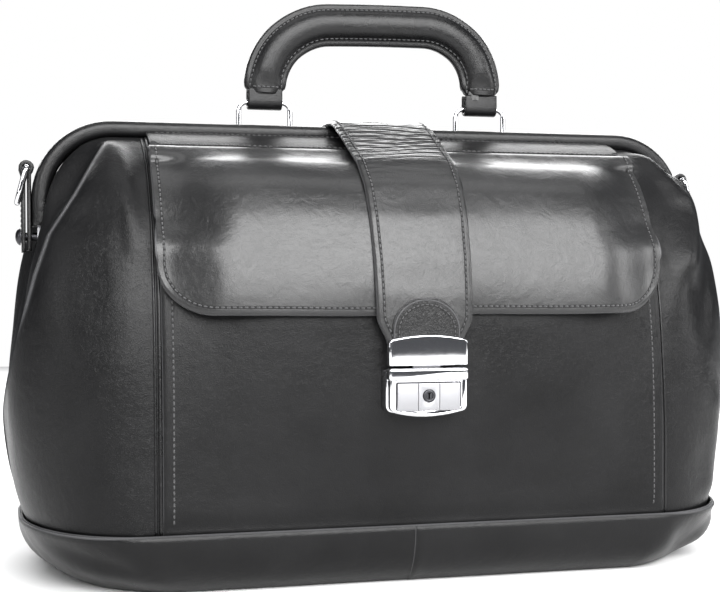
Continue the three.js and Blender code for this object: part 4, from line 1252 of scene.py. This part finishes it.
low, _ = box_mm("hasp_plate")
HASP_HALF, HASP_FRONT, HASP_FOOT = 21.6, low[1], 120.4
hasp_shape = arched_outline(HASP_HALF, HASP_FOOT, 136.6, 2.6)
hasp_main = plate("hasp_cover", hasp_shape, HASP_FRONT - 1.4, HASP_FRONT + 3.0, CHROME, bevel=1.8, segments=5)
back_shape = arched_outline(HASP_HALF - 1.2, HASP_FOOT, 135.0, 2.4)
hasp_back = plate("hasp_back", back_shape, HASP_FRONT + 2.6, HASP_FRONT + 4.0, STEEL, bevel=0.3)
tongue_shape = [(-7.5, 116.9), (7.5, 116.9), (7.5, 121.5), (-7.5, 121.5)]
hasp_tongue = plate("hasp_tongue", tongue_shape, HASP_FRONT + 3.6, HASP_FRONT + 5.4, STEEL, bevel=0.3)
bowed(hasp_main, 1.1, HASP_HALF)
hasp = join("lock_hasp", [hasp_main, hasp_back, hasp_tongue])
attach(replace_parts(hasp, "hasp_plate"), "strap_end")

low, high = box_mm("lock_body")
LOCK_HALF, LOCK_FRONT, LOCK_BACK = high[0] + 0.5, low[1], high[1]
LOCK_Z0, LOCK_Z1 = low[2] - 0.6, high[2]


def lock_outline(half, z0, z1, r, top_r=1.2, sag=0.0):
    """A plate with rounded corners, whose foot hangs lower in its middle by sag."""
    foot = z0 + sag
    points = [((half - r) * a, foot - sag * (1 - a * a)) for a in np.linspace(-1, 1, 17)[1:-1]]
    for cx, cz, start, radius in (
        (half - r, foot + r, 270, r), (half - top_r, z1 - top_r, 0, top_r),
        (-half + top_r, z1 - top_r, 90, top_r), (-half + r, foot + r, 180, r),
    ):
        for i in range(7):
            a = math.radians(start + 90 * i / 6)
            points.append((cx + radius * math.cos(a), cz + radius * math.sin(a)))
    return points


plate_low, plate_high = box_mm("push_plate")
opening = lock_outline(plate_high[0] + 0.5, plate_low[2] - 1.6, plate_high[2] + 0.5, 2.4, 0.8, 2.0)
case_shape = lock_outline(LOCK_HALF, LOCK_Z0, LOCK_Z1 - 1.0, 3.6, 1.2, 2.6)
lock_case = plate("lock_case", case_shape, LOCK_FRONT + 4.6, LOCK_BACK + 0.3, CHROME, bevel=0.8)
rim_shape = lock_outline(LOCK_HALF - 0.9, LOCK_Z0 + 0.9, LOCK_Z1 - 1.0, 3.0, 1.2, 2.4)
lock_rim = plate(
    "lock_rim", rim_shape, LOCK_FRONT - 0.4, LOCK_FRONT + 4.4, CHROME, bevel=1.1, holes=[opening], segments=4
)
bar_shape = lock_outline(LOCK_HALF - 0.2, 112.6, LOCK_Z1 + 0.2, 1.4, 1.4)
lock_bar = plate("lock_bar", bar_shape, LOCK_FRONT - 1.6, LOCK_FRONT + 4.6, CHROME, bevel=1.8, segments=4)
lock_body = join("press_lock", [lock_case, lock_rim, lock_bar])
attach(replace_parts(lock_body, "lock_body"), "bag")

KEY_Z = 104.5


def disc(radius, count):
    """A circle in X and Z about the keyhole."""
    angles = np.linspace(0, 2 * math.pi, count, endpoint=False)
    return [(radius * math.cos(a), KEY_Z + radius * math.sin(a)) for a in angles]


plate_y = plate_low[1] + 0.2
key_opening = [disc(3.45, 28)]
strips = []
x_edges = [plate_low[0], -plate_high[0] * 0.34, plate_high[0] * 0.34, plate_high[0]]
for index, holes in enumerate(((), key_opening, ())):
    a, b = x_edges[index] + 0.12, x_edges[index + 1] - 0.12
    centre, half = (a + b) / 2, (b - a) / 2
    shape = [(centre + x, z) for x, z in lock_outline(half, plate_low[2], plate_high[2], 0.3, 0.3)]
    strips.append(plate(
        f"push_strip_{index}", shape, plate_y - 0.25, plate_y + 1.6, SATIN,
        bevel=0.22, holes=holes, segments=2,
    ))
push_shape = lock_outline(plate_high[0], plate_low[2], plate_high[2], 0.8, 0.8)
push_base = plate("push_base", push_shape, plate_y + 1.0, plate_y + 2.2, STEEL, bevel=0.2, holes=key_opening)
strips.append(push_base)
push = join("lock_push_plate", strips)
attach(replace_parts(push, "push_plate"), "lock_plate")

key_rim = plate(
    "key_rim", disc(3.2, 32), plate_y - 0.8, plate_y + 4.0, DARK_METAL,
    bevel=0.35, holes=[disc(2.0, 24)], segments=2,
)
slot_hole = [
    (-0.45, 103.0), (0.45, 103.0), (0.45, 105.4), (0.8, 105.8), (0.45, 106.2), (-0.45, 106.2), (-0.8, 105.8),
    (-0.45, 105.4),
]
inner_disc = disc(1.95, 24)
key_plug = plate(
    "key_plug", inner_disc, plate_y - 0.4, plate_y + 4.0, DARK_METAL, bevel=0.2, holes=[slot_hole], segments=2
)
key_back = plate("key_floor", inner_disc, plate_y + 2.2, plate_y + 5.0, DARK_METAL, bevel=0.2)
key = join("key_cylinder_face", [key_rim, key_plug, key_back])
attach(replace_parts(key, "key_cylinder"), "key")

# ---- Building: the handle ----
HANDLE_X, HANDLE_Y = 68.0, HINGE_Y + 7.5
GRIP_Z, GRIP_CORNER, LEG_END = 320.0, 38.0, 278.4
RING_LOW, RING_HIGH, RING_HALF, WIRE = 254.6, 271.6, 15.6, 1.5
# the handle hangs a little to the right, with its right end high
HANDLE_SHIFT, HANDLE_TURN, HANDLE_ARCH = 4.0, 0.022, 1.8


def handle_path(steps=22):
    p = u_path(HANDLE_X, GRIP_Z, GRIP_CORNER, LEG_END, HANDLE_Y, steps)
    above = smooth((p[:, 2] - GRIP_Z + 14) / 14)
    rise = HANDLE_ARCH * (1 - (p[:, 0] / HANDLE_X) ** 2) * above - 1.2 * above
    x, z = p[:, 0].copy(), p[:, 2].copy()
    p[:, 0] = x + HANDLE_SHIFT + HANDLE_TURN * (z - RING_HIGH)
    p[:, 2] = z + rise + HANDLE_TURN * x
    return p


def handle_outline(roll, half):
    """The handle's section: a padded roll between two narrow sewn borders, flat where roll is 0."""
    out = np.array([-1, -0.965, -0.9, -0.82, -0.76, -0.7, -0.58, -0.42, -0.22, 0])
    full = np.array([0.8, 1.7, 2.1, 2.2, 2.1, 2.9, 4.9, 6.4, 7.2, 7.45])
    flat = np.array([0.8, 2.0, 2.6, 2.9, 3.2, 3.8, 5.0, 5.6, 5.8, 5.8])
    out = np.concatenate([out, -out[-2::-1]]) * half
    depth = mix(flat, full, roll)
    depth = np.concatenate([depth, depth[-2::-1]])
    front = np.stack([-depth, out], -1)
    back = np.stack([depth, out], -1)[::-1]
    return np.concatenate([front, back])


path = handle_path()
length_along = np.concatenate([[0], np.cumsum(np.linalg.norm(np.diff(path, axis=0), axis=1))])
from_end = np.minimum(length_along, length_along[-1] - length_along)
ROLL_FROM, ROLL_OVER, CLIP_RUN = 5.0, 9.0, 4.2  # where the padding starts, and how far the ends are clipped
profiles = np.array([
    handle_outline(float(smooth((d - ROLL_FROM) / ROLL_OVER)), GRIP_HALF - 3.6 * max(0.0, 1 - d / CLIP_RUN))
    for d in from_end
])
grip = sweep("handle_leather", path, profiles, TRIM)
grip_surface = Surface(grip)
handle_lines = []
_, out_dir = plane_frames(path)
for offset in (-10.5, 10.5):
    for y_side in (-1, 1):
        line = path + out_dir * offset
        line[:, 1] += y_side * 3.5
        handle_lines.append((line, y_side))
for sign in (-1, 1):
    x = np.linspace(-8.4, 8.4, 20) + sign * HANDLE_X + HANDLE_SHIFT
    end_z = np.full(20, LEG_END + 3.6 + HANDLE_TURN * sign * HANDLE_X)
    for y_side in (-1, 1):
        handle_lines.append((np.stack([x, np.full(20, HANDLE_Y + y_side * 4), end_z], -1), y_side))
pieces = []
for index, (line, y_side) in enumerate(handle_lines):
    name = f"handle_thread_{index}"
    pieces.append(stitching(name, grip_surface, [line], pitch=3.0, toward=(0, y_side, 0)))
handle_stitches = join("handle_stitching", pieces)
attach(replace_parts(grip, "handle_front", "handle_back"), "handle")
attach(handle_stitches, "handle")

def round_turns(turns, steps=9):
    """Quarter turns, each from its centre, its starting angle and its radius, as pairs of distances."""
    for a0, b0, start, radius in turns:
        for i in range(steps):
            a = math.radians(start + 90 * i / (steps - 1))
            yield a0 + radius * math.cos(a), b0 + radius * math.sin(a)


def strip(name, path, direction, outline, material):
    """A strip of leather or metal along a path, its width along this direction."""
    return sweep(name, path, outline, material, across=wire_frames(path, False, direction))


for sign, side in ((-1, "left"), (1, "right")):
    cx = sign * HANDLE_X + HANDLE_SHIFT
    # the handle's end wraps round the top bar of its ring
    loop_path = [(cx, HANDLE_Y - 3.0, LEG_END + 1.5), (cx, HANDLE_Y - 3.2, RING_HIGH + 3.4)]
    for a in np.linspace(math.pi, 2 * math.pi, 15):
        loop_path.append((cx, HANDLE_Y + 3.3 * math.cos(a), RING_HIGH + 3.3 * math.sin(a)))
    loop_path += [(cx, HANDLE_Y + 3.2, RING_HIGH + 3.4), (cx, HANDLE_Y + 3.0, LEG_END + 1.5)]
    loop_outline = rounded_box_outline(10.4, 1.15, 1.0, 3)
    loop = strip(f"handle_loop_{side}_leather", evenly(loop_path, 1.2), (1, 0, 0), loop_outline, TRIM)
    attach(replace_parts(loop, f"handle_loop_{side}"), "handle")
    turns = (
        (RING_HALF - 5.2, RING_HIGH - 5.2, 0, 5.2), (-RING_HALF + 5.2, RING_HIGH - 5.2, 90, 5.2),
        (-RING_HALF + 3.0, RING_LOW + 3.0, 180, 3.0), (RING_HALF - 3.0, RING_LOW + 3.0, 270, 3.0),
    )
    points = np.array([(cx + x, HANDLE_Y, z) for x, z in round_turns(turns)])
    frames = wire_frames(points, True, (0, 1, 0))
    ring = sweep(f"handle_ring_{side}_wire", points, circle(WIRE, 16), CHROME, across=frames, closed=True)
    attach(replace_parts(ring, f"handle_ring_{side}"), "handle_rings")
    # the saddle that holds the ring down, sunk in the frame's leather
    saddle_path = [(cx, HANDLE_Y - 5.0, 251.8), (cx, HANDLE_Y - 3.4, 252.4)]
    for a in np.linspace(math.pi, 0, 13):
        saddle_path.append((cx, HANDLE_Y + 2.5 * math.cos(a), RING_LOW + 2.4 * math.sin(a)))
    saddle_path += [(cx, HANDLE_Y + 3.4, 252.4), (cx, HANDLE_Y + 5.0, 251.8)]
    saddle_outline = rounded_box_outline(9.0, 0.5, 0.45, 3)
    saddle = strip(f"ring_saddle_{side}", evenly(saddle_path, 0.9), (1, 0, 0), saddle_outline, DARK_METAL)
    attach(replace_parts(saddle, f"handle_saddle_{side}"), "back_frame")

# ---- Building: the side tabs, rings and rivets ----
TAB_LOOP_Z, TAB_X = 229.0, 203.1
SIDE_RING_HALF, SIDE_RING_DROP, RING_TILT = 11.4, 20.0, math.radians(14.5)
for sign, side in ((-1, "left"), (1, "right")):
    inner = sign * (TAB_X - 1.5)
    outer = sign * (TAB_X + 1.5)
    tab_path = [(inner, HINGE_Y, 182.0)] + [(inner, HINGE_Y, z) for z in np.linspace(186, TAB_LOOP_Z - 3, 10)]
    for a in np.linspace(math.pi * 1.05, -0.05 * math.pi, 15):
        tab_path.append((sign * (TAB_X + 3.2 * math.cos(a)), HINGE_Y, TAB_LOOP_Z + 3.2 * math.sin(a)))
    tab_path += [(outer + sign * 0.2, HINGE_Y, z) for z in np.linspace(TAB_LOOP_Z - 5, 181.0, 12)]
    tab_path = evenly(np.array(tab_path), 1.5)
    widths = mix(9.0, 7.2, smooth((tab_path[:, 2] - 190) / 30))
    outline = rounded_box_outline(1.0, 1.15, 0.8, 3)
    profiles = []
    for w in widths:
        shape = outline.copy()
        shape[:, 0] = np.sign(shape[:, 0]) * (w - 1 + np.abs(shape[:, 0]))
        profiles.append(shape)
    tab = strip(f"side_tab_{side}_leather", tab_path, (0, 1, 0), np.array(profiles), TRIM)
    line_z = np.linspace(186, TAB_LOOP_Z - 8, 24)
    line_x = np.full(24, outer + sign * 3)
    tab_lines = [np.stack([line_x, HINGE_Y + k * 5.6 + 0 * line_z, line_z], -1) for k in (-1, 1)]
    name = f"side_tab_{side}_stitching"
    tab_stitches = stitching(name, Surface(tab), tab_lines, pitch=2.8, length=2.0, r=0.3, toward=(sign, 0, 0))
    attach(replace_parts(tab, f"side_tab_{side}"), "bag")
    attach(tab_stitches, "bag")
    turns = (
        (SIDE_RING_HALF - 2.6, -2.6, 0, 2.6), (-SIDE_RING_HALF + 2.6, -2.6, 90, 2.6),
        (-SIDE_RING_HALF + 6.5, -SIDE_RING_DROP + 6.5, 180, 6.5),
        (SIDE_RING_HALF - 6.5, -SIDE_RING_DROP + 6.5, 270, 6.5),
    )
    points = np.array([
        (sign * (TAB_X - down * math.sin(RING_TILT)), HINGE_Y + wide, TAB_LOOP_Z + down * math.cos(RING_TILT))
        for wide, down in round_turns(turns)
    ])
    frames = wire_frames(points, True, (math.cos(RING_TILT), 0, sign * math.sin(RING_TILT)))
    d_ring = sweep(f"side_ring_{side}_wire", points, circle(1.65, 14), CHROME, across=frames, closed=True)
    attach(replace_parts(d_ring, f"side_ring_{side}"), f"ring_{side}")
    # the rivet through the hinge, with a domed head
    profile = [
        (0.0, 209.4), (2.0, 209.2), (3.8, 208.4), (4.9, 207.2), (5.0, 206.4), (2.4, 206.3), (2.4, 192.4),
        (4.2, 192.2), (4.2, 191.0), (0.0, 190.9),
    ]
    count = 24
    verts = []
    for radius, x in profile:
        r = max(radius, 0.01)
        for k in range(count):
            a = 2 * math.pi * k / count
            verts.append((sign * x, HINGE_Y + r * math.cos(a), HINGE_Z + r * math.sin(a)))
    faces = ring_faces(len(profile), count) + end_caps(len(profile), count)
    rivet = fix_normals(new_object(f"hinge_rivet_{side}_head", verts, faces, DARK_METAL))
    rivet.data.set_sharp_from_angle(angle=math.radians(40))
    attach(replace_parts(rivet, f"hinge_rivet_{side}"), "bag")

# ---- CAD nodes that stay, with their materials ----
for kept, material in (
    ("front_frame_bar", STEEL), ("back_frame_bar", STEEL), ("handle_core", FOAM), ("base_board", BOARD),
    ("lock_backplate", STEEL),
):
    obj = frame["nodes"][kept]
    obj.data.materials.clear()
    obj.data.materials.append(material)


# ---- Stage, lights and camera ----
def stage():
    """A plain pale floor."""
    mat, _, _, shader = nodes_of("studio_floor")
    shader.inputs["Base Color"].default_value = (0.78, 0.78, 0.78, 1)
    shader.inputs["Roughness"].default_value = 0.9
    shader.inputs["Specular IOR Level"].default_value = 0.1
    half = 1900.0
    corners = [(-half, -half, -0.1), (half, -half, -0.1), (half, half, -0.1), (-half, half, -0.1)]
    new_object("studio_floor", corners, [(0, 1, 2, 3)], mat)


def softbox(name, place, aim, size, power):
    data = bpy.data.lights.new(name, "AREA")
    data.shape = "RECTANGLE"
    data.size, data.size_y = size
    data.energy = power
    obj = bpy.data.objects.new(name, data)
    bpy.context.scene.collection.objects.link(obj)
    obj.location = Vector(place)
    direction = Vector(aim) - Vector(place)
    obj.rotation_euler = direction.to_track_quat("-Z", "Y").to_euler()


stage()
softbox("front_high", (0.1, -1.55, 1.1), (0, -0.1, 0.2), (2.3, 1.3), 100)
softbox("overhead", (0.0, -0.05, 1.5), (0, -0.05, 0.2), (1.5, 0.4), 5)
softbox("left_side", (-1.6, -0.5, 0.6), (-0.1, 0, 0.15), (0.4, 0.7), 5)
softbox("right_side", (1.6, -0.6, 0.7), (0.1, 0, 0.15), (0.6, 0.8), 12)
softbox("back_top", (0.2, 1.4, 1.0), (0, 0.1, 0.2), (2.0, 1.0), 45)

world = bpy.data.worlds.new("studio")
bpy.context.scene.world = world
world.use_nodes = True
tree = world.node_tree
tree.nodes.clear()
out = tree.nodes.new("ShaderNodeOutputWorld")
blend_node = tree.nodes.new("ShaderNodeMixShader")
seen = tree.nodes.new("ShaderNodeLightPath")
# the backdrop is white, and the room's own light is a dim grey
room = node(tree.nodes, "Background", Color=(0.9, 0.93, 1.0, 1), Strength=0.1)
white = node(tree.nodes, "Background", Color=(1, 1, 1, 1), Strength=1.0)
connect(tree.links, (seen, "Is Camera Ray", blend_node, "Fac"), (room, "Background", blend_node, 1))
connect(tree.links, (white, "Background", blend_node, 2), (blend_node, "Shader", out, "Surface"))

camera_data = bpy.data.cameras.new("camera")
camera = bpy.data.objects.new("camera", camera_data)
bpy.context.scene.collection.objects.link(camera)
bpy.context.scene.camera = camera
CAMERA_TURN, CAMERA_DIP, CAMERA_FAR = math.radians(14.63), math.radians(1.6), 843.6
level = math.cos(CAMERA_DIP)
look = np.array([math.sin(CAMERA_TURN) * level, math.cos(CAMERA_TURN) * level, -math.sin(CAMERA_DIP)])
camera.location = Vector((np.array([0, HINGE_Y, 142.5]) - look * CAMERA_FAR) * MM)
camera.rotation_euler = (math.radians(90) - CAMERA_DIP, 0, -CAMERA_TURN)
camera_data.lens = 69.24
camera_data.sensor_width = 36.0
camera_data.shift_x = -0.0148
camera_data.shift_y = 0.0297
camera_data.clip_start = 0.01
camera_data.clip_end = 50.0

scene = bpy.context.scene
scene.view_settings.view_transform = "Standard"
scene.view_settings.look = "None"
